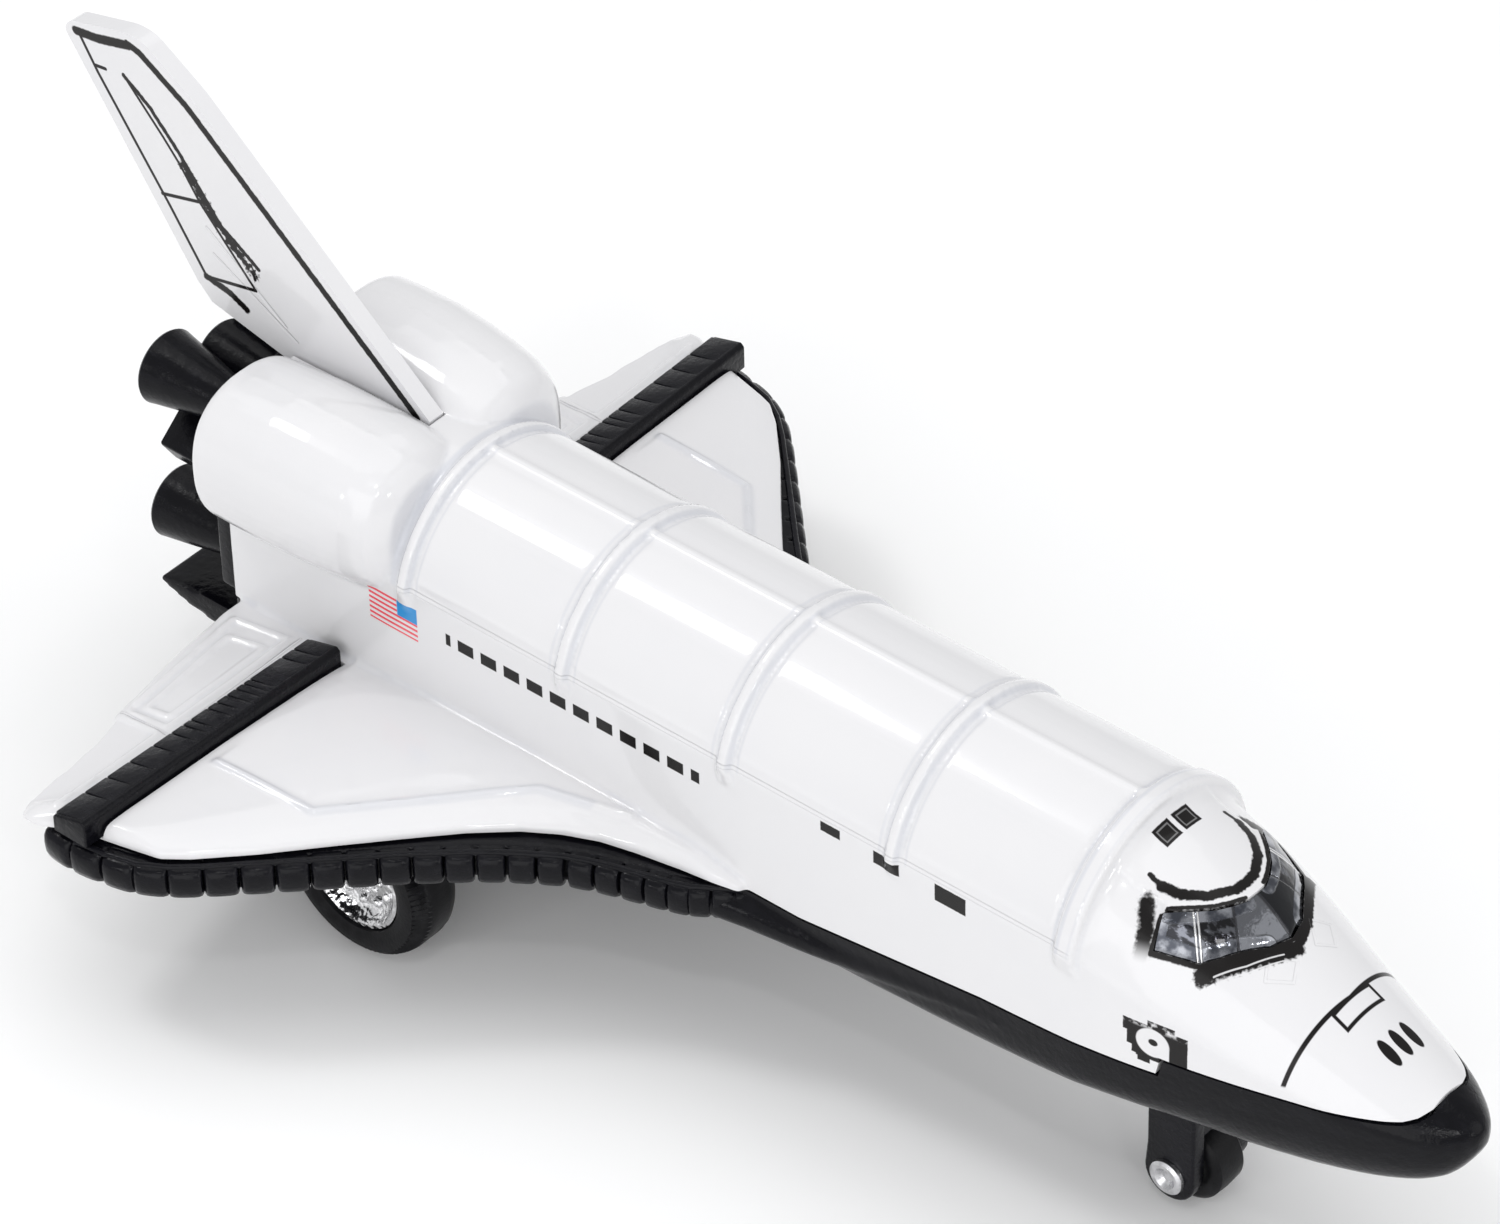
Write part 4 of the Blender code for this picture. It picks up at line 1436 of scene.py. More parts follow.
    def dashes(self, recipe: Recipe) -> Value:
        """Plain row of bars along each side, like a trim line.

        Args:
            recipe: The material.

        Returns:
            Mask of the bars.
        """
        s, z = recipe.station, recipe.z
        inside = recipe.patch(s, z, (94.0, 35.2), (131.0, 36.8))
        pulse = (s * (1.0 / 3.4)).math("FRACT").rise(0.30, 0.34)
        return inside * pulse * abs(recipe.x).rise(SIDE_FROM, SIDE_FULL)

    def nose_marks(self, recipe: Recipe, wobble: Value) -> Value:
        """Line, frame, ovals and small top windows on the nose.

        Args:
            recipe: The material.
            wobble: Unevenness of the printed edge.

        Returns:
            Mask of the ink.
        """
        x, s, z = recipe.x, recipe.station, recipe.z
        above = z.rise(32.6, 32.9)
        rim = (abs(s - 17.5 + abs(x) * -0.10) - 0.24).rise(0.06, -0.06) * above
        frame_outer = recipe.gap_to(x, s, (0.0, 16.55), (3.0, 0.95))
        frame_mask = (abs(frame_outer) - 0.2).rise(0.06, -0.06)
        inside = frame_outer.rise(-0.1, 0.1)
        line = (rim * inside).most(frame_mask)
        for place in (-1.5, 0.4, 2.3):
            line = line.most(recipe.disc(x, s, (place, 11.3), (0.62, 1.6)).rise(1.06, 0.94))
        for side in (-1, 1):
            window = recipe.patch(x * side + wobble, s + wobble, (0.3, 39.4), (2.9, 41.6))
            frame_line = abs(recipe.gap_to(x * side, s, (1.6, 40.5), (0.85, 0.7))).rise(0.12, 0.04)
            line = line.most(window * (1.0 - frame_line * 0.22) * z.rise(45.0, 46.0))
        return line * z.rise(30.0, 31.0)

    def window_soot(self, recipe: Recipe, rough: Value) -> Value:
        """Hand-sprayed dark edge round the cockpit windows.

        Args:
            recipe: The material.
            rough: Noise about zero.

        Returns:
            Mask of the soot.
        """
        x, across, s, z = recipe.x, abs(recipe.x), recipe.station, recipe.z
        near = recipe.stroke(x, s, ((-9.3, 29.8), (-6.1, 27.2), (-2.6, 25.0), (-0.5, 24.2)))
        far = recipe.stroke(x, s, ((-0.5, 24.4), (0.6, 24.5), (2.9, 25.4), (6.1, 27.6), (9.4, 29.9)))
        side = recipe.stroke(across, s, ((8.4, 37.8), (9.9, 36.6), (11.3, 36.1)))
        top = recipe.stroke(across, s, ((0.0, 31.3), (1.6, 31.5), (4.2, 33.0), (5.9, 35.2), (6.5, 37.4)))
        tail = recipe.stroke(across, s, ((6.5, 37.4), (6.3, 39.0)))
        edge = recipe.stroke(across, s, widened(mirrored(WINDOW), 0.35)[: len(WINDOW) - 1])
        soot = (near + rough * 0.9).rise(1.05, 0.65)
        soot = soot.most((far + rough * 0.5).rise(0.6, 0.4))
        soot = soot.most((side + rough * 0.9).rise(1.15, 0.6) * z.rise(41.2, 43.4))
        soot = soot.most((top + rough * 0.45).rise(0.62, 0.42))
        soot = soot.most((tail + rough * 0.3).rise(0.35, 0.2))
        soot = soot.most((edge + rough * 0.2).rise(0.30, 0.18))
        bare = recipe.hollow(x, s, ((-8.7, 28.7), (-5.9, 26.6), (-2.2, 24.6)), 0.11)
        bare = bare.most(recipe.hollow(x, s, ((-8.9, 28.2), (-6.2, 26.1), (-2.5, 24.1)), 0.10))
        return soot * (1.0 - bare * 0.85) * z.rise(37.0, 38.0)

    def patch_of_stripes(self, recipe: Recipe, under: bpy.types.NodeSocket) -> bpy.types.NodeSocket:
        """Small patch of red stripes with a plain blue corner on each side.

        Args:
            recipe: The material.
            under: Colour below it.

        Returns:
            Colour with the patch.
        """
        s, z = recipe.station, recipe.z
        on_side = abs(recipe.x).rise(SIDE_FROM, SIDE_FULL)
        field = recipe.patch(s, z, (135.3, 33.2), (142.6, 37.8)) * on_side
        corner = recipe.patch(s, z, (135.3, 35.6), (138.3, 37.8)) * on_side
        bars = (z * (1.0 / 0.72)).math("FRACT").rise(0.50, 0.44) * field * (1.0 - corner)
        colour = recipe.tint(bars, under, (0.80, 0.10, 0.13))
        return recipe.tint(corner, colour, (0.04, 0.28, 0.62))

    def mould_lines(self, recipe: Recipe) -> Value:
        """Fine sunk lines of the mould.

        Args:
            recipe: The material.

        Returns:
            Mask, 1 in a line.
        """
        x, s, z = recipe.x, recipe.station, recipe.z
        sill = (abs(z - 40.2) - 0.18).rise(0.18, -0.05)
        sill = sill * s.rise(42.0, 44.0) * s.rise(139.0, 137.0) * abs(x).rise(13.0, 14.0)
        deck = (1.0 - z.rise(26.8, 27.4)) * abs(x).rise(14.6, 15.0)
        hinge = recipe.hollow(abs(x), s, ((15.0, 153.4), (54.0, 153.2)), 0.25)
        split = recipe.hollow(abs(x), s, ((36.3, 153.6), (36.4, 161.5)), 0.25)
        panel = ((1.6, 23.3), (3.6, 22.2), (5.6, 24.4), (3.6, 25.6), (1.6, 23.3))
        nose = recipe.stroke(abs(x), s, panel).rise(0.22, 0.08)
        high = z.rise(33.0, 34.0)
        return sill.most((hinge.most(split)) * deck).most(nose * high * 0.5)

    def painted_crease_shade(self, recipe: Recipe) -> Value:
        """Painted shade at the feet of the ribs, along the door edges and beside the wings' raised fields.

        Args:
            recipe: The material.

        Returns:
            Mask of the painted shade, 1 in a crease.
        """
        s, z = recipe.station, recipe.z
        turn = ((s - self.rib_front) * (1.0 / self.rib_pitch) + 0.5).math("FRACT")
        away = abs(turn - 0.5) * self.rib_pitch
        foot = abs(away - (self.rib_width / 2.0 + 0.12)).rise(0.42, 0.05)
        door = abs(away - (self.rib_width / 2.0 + self.door_margin)).rise(0.30, 0.04) * 0.6
        along = s.rise(42.5, 43.5) * s.rise(139.3, 138.6)
        tail = abs(s - 138.7).rise(0.8, 0.15) * 1.2
        over = z.rise(self.sill - 0.6, self.sill + 0.4)
        field = recipe.stroke(abs(recipe.x), s, WING_FIELD[1:-2]).rise(0.95, 0.35) * 0.7
        deck = 1.0 - z.rise(27.4, 28.0)
        return (((foot.most(door)) * along).most(tail) * over).most(field * deck)


@dataclass
class TailFin:
    """White fin with its black hand-inked lines."""

    half: float = FIN_HALF
    edge: float = 0.85
    segments: int = 5

    def build(self) -> bpy.types.Object:
        """Builds the fin.

        Returns:
            The finished piece.
        """
        form = Form()
        outline = [(station_y(s), z) for s, z in FIN]
        verts = form.slab(outline, -self.half, self.half, Axis.X)
        corners = [
            edge
            for edge in form.edges_of(verts)
            if abs(edge.verts[0].co.x - edge.verts[1].co.x) > self.half and edge.verts[0].co.z > 79.0
        ]
        form.rounded(corners, 1.0, 4)
        form.rounded(form.sharp_edges(60.0), self.edge, self.segments)
        finish = self.dress()
        return piece(form, "tail_fin_painted", finish, "shuttle", ("tail_fin",), 40.0)

    def dress(self) -> bpy.types.Material:
        """White paint with black lines on both faces."""
        enamel = Enamel()
        recipe, paint, ripple = enamel.start("painted_fin")
        across = abs(recipe.x)
        s, z = recipe.station + across * 1.06, recipe.z - across * 1.128
        rough = recipe.noise(1.6, 4.0) - 0.5
        front = ((188.2, 83.3), (186.4, 82.9), (179.4, 78.6), (146.6, 51.2))
        thick = recipe.stroke(recipe.station, recipe.z, front)
        ink = (thick + rough * 0.25).rise(0.62, 0.44)
        top = recipe.stroke(recipe.station, recipe.z, ((196.4, 81.5), (193.0, 81.9), (188.2, 83.1)))
        ink = ink.most((top + rough * 0.2).rise(0.72, 0.52))
        rear = ((197.4, 80.6), (194.6, 75.9), (188.9, 67.8), (184.8, 62.0), (179.7, 54.3), (171.9, 56.0))
        thin = recipe.stroke(s, z, rear)
        cross = recipe.stroke(s, z, ((185.8, 63.1), (179.0, 64.9)))
        short = recipe.stroke(s, z, ((194.9, 76.7), (193.3, 76.9)))
        ink = ink.most(thin.least(cross).least(short).rise(0.30, 0.18))
        bend = ((190.4, 77.3), (186.6, 74.6), (182.4, 70.1), (176.8, 62.9), (171.2, 59.3))
        hinge = recipe.stroke(s, z, bend)
        ink = ink.most((hinge + rough * 0.3).rise(0.42, 0.26))
        inner = ((190.4, 77.3), (184.9, 71.4), (182.5, 68.6), (179.8, 64.6), (171.9, 56.0))
        second = recipe.stroke(s, z, inner)
        ink = ink.most(second.rise(0.28, 0.16))
        smudge = recipe.stroke(s, z, ((182.0, 68.9), (177.8, 63.4), (172.0, 58.2)))
        ink = ink.most((smudge + rough * 2.6).rise(0.85, 0.45))
        foot = recipe.stroke(s, z, ((179.7, 54.3), (176.1, 53.7), (173.6, 52.5)))
        ink = ink.most((foot + rough * 0.4).rise(0.6, 0.4))
        ink = ink * across.rise(0.25, 0.45)
        recipe.feed(recipe.shader.inputs["Base Color"], enamel.mark(recipe, paint, ink))
        seam = recipe.hollow(s, z, ((179.0, 61.5), (167.5, 53.0)), 0.3)
        seam = seam.most(recipe.hollow(s, z, ((178.2, 58.2), (165.8, 51.6)), 0.22))
        recipe.bump(ripple * 0.06 - seam * 0.6, 0.2)
        return recipe.material


@dataclass
class WindowBand:
    """Smoky plated cockpit windows with their dividers."""

    sink: float = 0.15
    depth: float = 2.2
    lift: float = 1.0
    bulge: float = 0.35
    steps: int = 5

    def build(self) -> bpy.types.Object:
        """Builds the band.

        Returns:
            The finished piece.
        """
        right = [self.ring(low, high) for low, high in PANES]
        left = [[(-x, y, z) for x, y, z in ring] for ring in reversed(right[1:])]
        form = Form()
        form.loft(left + right)
        return piece(
            form, "cockpit_band", self.dress(), "shuttle", ("cockpit_glazing",), 60.0
        )

    def ring(self, low: Plane, high: Plane) -> list[Spot]:
        """Upright section of the band.

        Args:
            low: Lower end from above.
            high: Upper end from above.

        Returns:
            Points of the ring.
        """
        front = HULL.top_at(*low) - self.sink
        back = HULL.top_at(*high) + self.lift
        outer = []
        for index in range(self.steps + 1):
            share = index / self.steps
            x = low[0] + (high[0] - low[0]) * share
            s = low[1] + (high[1] - low[1]) * share
            z = front + (back - front) * share + self.bulge * math.sin(math.pi * share)
            outer.append((x, station_y(s), z))
        return outer + [(x, y, z - self.depth) for x, y, z in reversed(outer)]

    def dress(self) -> bpy.types.Material:
        """Dark plated plastic with painted reflections, a different tone on each pane, and lighter dividers
        between the panes.
        """
        recipe = Recipe("smoky_plating")
        x, s = abs(recipe.x), recipe.station
        smear = recipe.noise(0.7, 3.0)
        # Painted reflection: the panes' tones, pale on the near centre pane and streaked on the middle and outer
        # panes, stand in for what the plating reflects.
        streak = recipe.noise(1.4, 3.0, (1.0, 0.3, 1.0)).rise(0.48, 0.62)
        beyond_outer = self.beyond(x, s, PANES[4])
        beyond_inner = self.beyond(x, s, PANES[2])
        near = recipe.x.rise(0.1, -0.1)
        centre = recipe.tint(near, (0.008, 0.009, 0.012), (0.13, 0.135, 0.15))
        middle = recipe.tint(streak * 0.5, (0.004, 0.004, 0.006), (0.22, 0.23, 0.26))
        outer = recipe.tint(streak * 0.7, (0.012, 0.013, 0.018), (0.24, 0.25, 0.29))
        painted_pane_reflection = recipe.tint(beyond_inner, centre, middle)
        painted_pane_reflection = recipe.tint(beyond_outer, painted_pane_reflection, outer)
        bright = recipe.stroke(x, s, PANES[4])
        double = abs(bright - 0.2).rise(0.16, 0.05)
        thin = recipe.stroke(x, s, PANES[2]).least(recipe.stroke(x, s, PANES[0])).rise(0.22, 0.10)
        rim = recipe.stroke(x, s, WINDOW[1:-1])
        frame = rim.rise(0.95, 0.75)
        metal = recipe.tint(smear.rise(0.35, 0.65), (0.05, 0.055, 0.07), (0.30, 0.31, 0.34))
        colour = recipe.tint(frame, painted_pane_reflection, metal)
        colour = recipe.tint(thin * 0.8, colour, (0.03, 0.03, 0.035))
        colour = recipe.tint(double, colour, (0.85, 0.85, 0.86))
        recipe.feed(recipe.shader.inputs["Base Color"], colour)
        recipe.feed(recipe.shader.inputs["Roughness"], smear * 0.10 + 0.05)
        recipe.fixed(Metallic=0.9, Coat_Weight=0.5, Coat_Roughness=0.03)
        step = rim.rise(0.95, 0.80) + double * 0.8 - thin * 0.5
        recipe.bump(step + smear * 0.5, 0.22)
        return recipe.material

    def beyond(self, x: Value, s: Value, edge: tuple[Plane, Plane]) -> Value:
        """Mask of what lies on the outer side of an upright edge.

        Args:
            x: Half span position.
            s: Station.
            edge: Lower and upper end of the edge.

        Returns:
            1 on the outer side.
        """
        (x0, s0), (x1, s1) = edge
        run = math.hypot(x1 - x0, s1 - s0)
        away = (x - x0) * ((s1 - s0) / run) - (s - s0) * ((x1 - x0) / run)
        return away.rise(-0.05, 0.05)


@dataclass
class Base:
    """Black moulded base with its scalloped edge, side ribs, flap and hangers."""

    grain: float = 0.5
    gap: float = GAP
    flange_low: float = 18.7
    flange_high: float = 23.3
    lobes: int = 24
    front_share: float = 0.55
    inset: float = 1.0
    flap_half: float = 11.6
    flap_rear: float = 179.4
    well_x: float = 27.1

    def edge_marks(self) -> list[tuple[Vector, Vector]]:
        """Ends of each lobe along the right edge, from front to back.

        Returns:
            Pairs of points as x and station.
        """
        spots = [Vector(point) for point in FLANGE]
        lengths = [0.0]
        for near, far in zip(spots, spots[1:]):
            lengths.append(lengths[-1] + (far - near).length)

        def along(distance: float) -> Vector:
            """Point of the edge at a distance from its front end."""
            for index in range(len(spots) - 1):
                if distance <= lengths[index + 1] + 1e-9:
                    share = (distance - lengths[index]) / (lengths[index + 1] - lengths[index])
                    return spots[index].lerp(spots[index + 1], share)
            return spots[-1]

        weights = [
            self.front_share + (1 - self.front_share) * index / (self.lobes - 1)
            for index in range(self.lobes)
        ]
        marks = [0.0]
        for weight in weights:
            marks.append(marks[-1] + lengths[-1] * weight / sum(weights))
        return [(along(start), along(end)) for start, end in zip(marks, marks[1:])]

    def build(self) -> list[bpy.types.Object]:
        """Builds the base.

        Returns:
            The finished pieces.
        """
        finish = Moulding().dress("black_moulding")
        whole = Form()
        HULL.loft(whole)
        self.plate(whole)
        self.chines(whole)
        self.flap(whole)
        for side in (-1, 1):
            low, high = sorted((side * 19.2, side * 21.6))
            whole.block((low, station_y(128.5), 7.7), (high, station_y(136.5), 19.6), 0.5)
        cutters = (parting_cutter(True, self.gap / 2.0), self.cuts())
        mesh = cast_skin(whole, "moulded_base", self.grain, 0.6, cutters)
        made = [piece(mesh, "moulded_base", finish, "shuttle", ("base_plate",), 45.0)]
        made.append(piece(self.beads(), "scalloped_edge", finish, "shuttle", (), 50.0))
        steel = Plating(roughness=0.22).dress("rivet_steel")
        made.append(piece(self.rivets(), "base_rivets", steel, "shuttle", (), 40.0))
        return made

    def plate(self, form: Form) -> None:
        """Adds the flat plate under both wings."""
        outline = []
        for near, far in self.edge_marks():
            way = (far - near).normalized()
            out = Vector((way.y, -way.x))
            middle = (near + far) / 2.0 - out * (self.inset + 1.6)
            outline.append((middle.x, middle.y))
        outline += [(52.6, 156.0), (34.0, 159.6), (13.0, 160.6)]
        right = [(x, station_y(s)) for x, s in outline]
        whole = right + [(-x, y) for x, y in reversed(right)]
        form.slab(whole, self.flange_low, self.flange_high, Axis.Z)

    def chines(self, form: Form) -> None:
        """Adds the rounded ribs along both sides."""
        for side in (-1, 1):
            path = [(side * (x - radius), station_y(s), z) for s, x, z, radius in CHINE]
            form.tube(path, [radius for _, _, _, radius in CHINE], 16)

    def flap(self, form: Form) -> None:
        """Adds the flap under the nozzles."""
        rear = self.flap_rear
        outline = (
            (150.0, 18.6), (172.0, 18.6), (rear, 18.0), (rear + 0.3, 17.6), (rear, 17.3),
            (175.5, 16.0), (171.0, 15.2), (167.5, 15.3), (164.0, 16.4), (150.0, 17.4),
        )
        points = [(station_y(s), z) for s, z in outline]
        form.slab(points, -self.flap_half, self.flap_half, Axis.X)

    def cuts(self) -> Form:
        """Room for the wheels, the motor, the axle and the nose fork."""
        form = Form()
        axis = (0.0, station_y(WHEEL_STATION), WHEEL_RADIUS)
        well = WHEEL_RADIUS + 1.0
        for side in (-1, 1):
            self.drill(form, (side * self.well_x, axis[1], axis[2]), well, 4.5, 64)
        self.drill(form, axis, 1.4, 24.0, 24)
        half, reach = MOTOR_HALF_WIDTH + self.gap, MOTOR_HALF_LENGTH + self.gap
        form.block((-half, axis[1] - reach, 3.0), (half, axis[1] + reach, 40.0))
        half, y = FORK_HALF_WIDTH + self.gap, station_y(NOSE_WHEEL_STATION)
        front, rear = y - FORK_FRONT - self.gap, y + FORK_REAR + self.gap
        form.block((-half, front, 3.0), (half, rear, FORK_TOP + self.gap))
        return form

    def drill(self, form: Form, centre: Spot, radius: float, reach: float, steps: int) -> None:
        """Adds a round cutter across the toy.

        Args:
            form: The form.
            centre: Middle of the cutter.
            radius: Its radius.
            reach: Half its length.
            steps: Number of steps round it.
        """
        profile = ((0.0, -reach), (radius, -reach), (radius, reach), (0.0, reach))
        form.lathe(profile, centre, Axis.X, steps, closed=False)

    def beads(self) -> Form:
        """Row of rounded beads along both edges, under a thin rim."""
        form = Form()
        outline = (
            (2.0, 18.75), (1.0, 18.95), (0.4, 19.4), (0.1, 20.2), (0.0, 21.3), (0.08, 22.2),
            (0.4, 22.75), (1.0, 23.0), (2.2, 23.1), (3.6, 23.1), (3.6, 18.75),
        )
        steps = (
            (0.01, 0.16), (0.035, 0.03), (0.08, -0.05), (0.16, -0.095), (0.30, -0.115), (0.5, -0.12),
            (0.70, -0.115), (0.84, -0.095), (0.92, -0.05), (0.965, 0.03), (0.99, 0.16),
        )
        middle_z = 21.0
        for near, far in self.edge_marks():
            way = far - near
            out = Vector((way.y, -way.x)).normalized()
            rings = []
            for share, drop in steps:
                middle = near.lerp(far, share)
                depth = drop * way.length
                ring = []
                for inset, height in outline:
                    spot = middle - out * (self.inset + inset + depth)
                    height = middle_z + (height - middle_z) * (1.0 - 0.16 * max(depth, -0.2))
                    ring.append((spot.x, station_y(spot.y), height))
                rings.append(ring)
            form.loft(rings)
        rim = []
        for near, far in self.edge_marks():
            way = (far - near).normalized()
            out = Vector((way.y, -way.x))
            spot = near - out * (self.inset + 0.9)
            rim.append((spot.x, station_y(spot.y), 23.0))
        form.tube(rim, [0.42] * len(rim), 10)
        geom = form.mesh.verts[:] + form.mesh.edges[:] + form.mesh.faces[:]
        bmesh.ops.mirror(form.mesh, geom=geom, matrix=Matrix.Identity(4), merge_dist=0.0, axis="X")
        return form

    def rivets(self) -> Form:
        """Two domed rivet heads that hold the base."""
        form = Form()
        for station, height in ((56.0, 17.5), (156.0, 16.9)):
            form.lathe(
                ((0.0, -0.9), (1.3, -0.75), (2.2, -0.3), (2.5, 0.3), (0.0, 0.9)),
                (0.0, station_y(station), height),
                Axis.Z,
                32,
                closed=False,
            )
        return form


@dataclass
class WingStrips:
    """Black ribbed bars set across the wings."""

    front: float = STRIP_FRONT
    rear: float = STRIP_REAR
    inner: float = STRIP_INNER
    outer: float = STRIP_OUTER
    sweep: float = STRIP_SWEEP
    floor: float = 23.7
    top_front: float = 27.5
    top_rear: float = 26.3

    def build(self) -> list[bpy.types.Object]:
        """Builds both bars.

        Returns:
            The finished pieces.
        """
        finish = Moulding(roughness=0.22, grain=0.09).dress("bar_moulding")
        cells = (
            0.3, 2.7, 4.6, 9.6, 10.6, 11.8, 13.2, 14.8, 16.2,
            18.8, 20.0, 21.8, 24.6, 28.2, 31.6, 35.0, 39.3,
        )
        made = []
        for side, word in ((-1, "left"), (1, "right")):
            form = Form()
            low, high = sorted((side * self.inner, side * self.outer))
            verts = form.slab(self.outline(0.16), low, high, Axis.X)
            form.rounded(form.edges_of(verts), 0.5, 4)
            for start, end in zip(cells, cells[1:]):
                low, high = sorted((side * (self.inner + start + 0.06), side * (self.inner + end - 0.06)))
                verts = form.slab(self.pad(), low, high, Axis.X)
                form.rounded(form.edges_of(verts), 0.16, 2)
            for vert in form.mesh.verts:
                vert.co.y += self.sweep * (abs(vert.co.x) - self.inner) / (self.outer - self.inner)
            node = f"wing_strip_{word}"
            made.append(piece(form, f"wing_bar_{word}", finish, "shuttle", (node,), 35.0))
        return made

    def outline(self, drop: float) -> list[Plane]:
        """Section of a bar, as y and height.

        Args:
            drop: How far its top lies below the measured top.

        Returns:
            Points of the section.
        """
        front, rear = station_y(self.front), station_y(self.rear)
        return [
            (front, self.floor),
            (front, self.top_front - drop - 0.5),
            (front + 0.5, self.top_front - drop),
            (rear - 0.3, self.top_rear - drop),
            (rear, self.top_rear - drop - 0.4),
            (rear, self.floor),
        ]

    def pad(self) -> list[Plane]:
        """Section of one raised tile on a bar, as y and height."""
        front, rear = station_y(self.front + 0.75), station_y(self.rear - 0.15)
        slope = (self.top_rear - self.top_front) / (self.rear - self.front)
        near = self.top_front + slope * 0.75
        return [(front, near - 1.2), (front, near), (rear, self.top_rear), (rear, self.top_rear - 1.2)]


@dataclass
class Engines:
    """Black rear insert with its nozzles and thruster blocks."""

    face: float = 165.7
    depth: float = 3.0

    def build(self) -> list[bpy.types.Object]:
        """Builds the insert.

        Returns:
            The finished pieces.
        """
        finish = Moulding(roughness=0.20).dress("nozzle_moulding")
        form = Form()
        outline = mirrored(
            [(0.0, 21.3), (10.6, 21.3), (12.2, 23.2), (12.2, 38.0), (10.8, 44.0), (6.4, 48.4), (0.0, 49.6)]
        )
        form.slab(outline, station_y(self.face), station_y(self.face + self.depth), Axis.Y)
        form.rounded(form.sharp_edges(30.0), 0.5, 3)
        for height, x, rim, throat, mouth in (
            (43.8, 0.0, 178.4, 2.6, 4.6),
            (26.8, 7.6, 179.6, 2.6, 4.6),
            (46.9, 8.2, 179.0, 2.4, 4.6),
        ):
            for side in (-1, 1) if x else (1,):
                self.nozzle(form, side * x, height, rim, throat, mouth)
        for side in (-1, 1):
            points = [(side * x, z) for x, z in ((7.0, 41.2), (11.6, 38.5), (10.4, 36.2), (5.8, 38.9))]
            verts = form.slab(points, station_y(self.face + 2.4), station_y(178.2), Axis.Y)
            for vert in verts:
                if vert.co.y > station_y(175.0):
                    vert.co.y -= 0.55 * max(0.0, 39.6 - vert.co.z)
            form.rounded(form.edges_of(verts), 0.3, 3)
        return [
            piece(form, "nozzle_insert", finish, "shuttle", ("engine_insert",), 35.0)
        ]

    def nozzle(self, form: Form, x: float, height: float, rim: float, throat: float, mouth: float) -> None:
        """Adds one bell nozzle.

        Args:
            form: The form.
            x: Half span position with its sign.
            height: Height of its axis.
            rim: Station of its rim.
            throat: Radius at the bulkhead.
            mouth: Radius at the rim.
        """
        start = self.face + self.depth - 0.8
        run = rim - start
        outer, inner = [], []
        for index in range(11):
            share = index / 10.0
            radius = throat + (mouth - throat) * (0.82 * share + 0.18 * math.sin(share * math.pi / 2))
            outer.append((radius, run * share))
            if share >= 0.3:
                inner.append((max(radius - 0.75, 0.5), run * share))
        lip = [(mouth, run - 0.25), (mouth - 0.15, run), (mouth - 0.6, run)]
        profile = [(0.0, 0.0), *outer[:-1], *lip, *reversed(inner[:-1]), (0.0, run * 0.3)]
        form.lathe(profile, (x, station_y(start), height), Axis.Y, 48, closed=False)


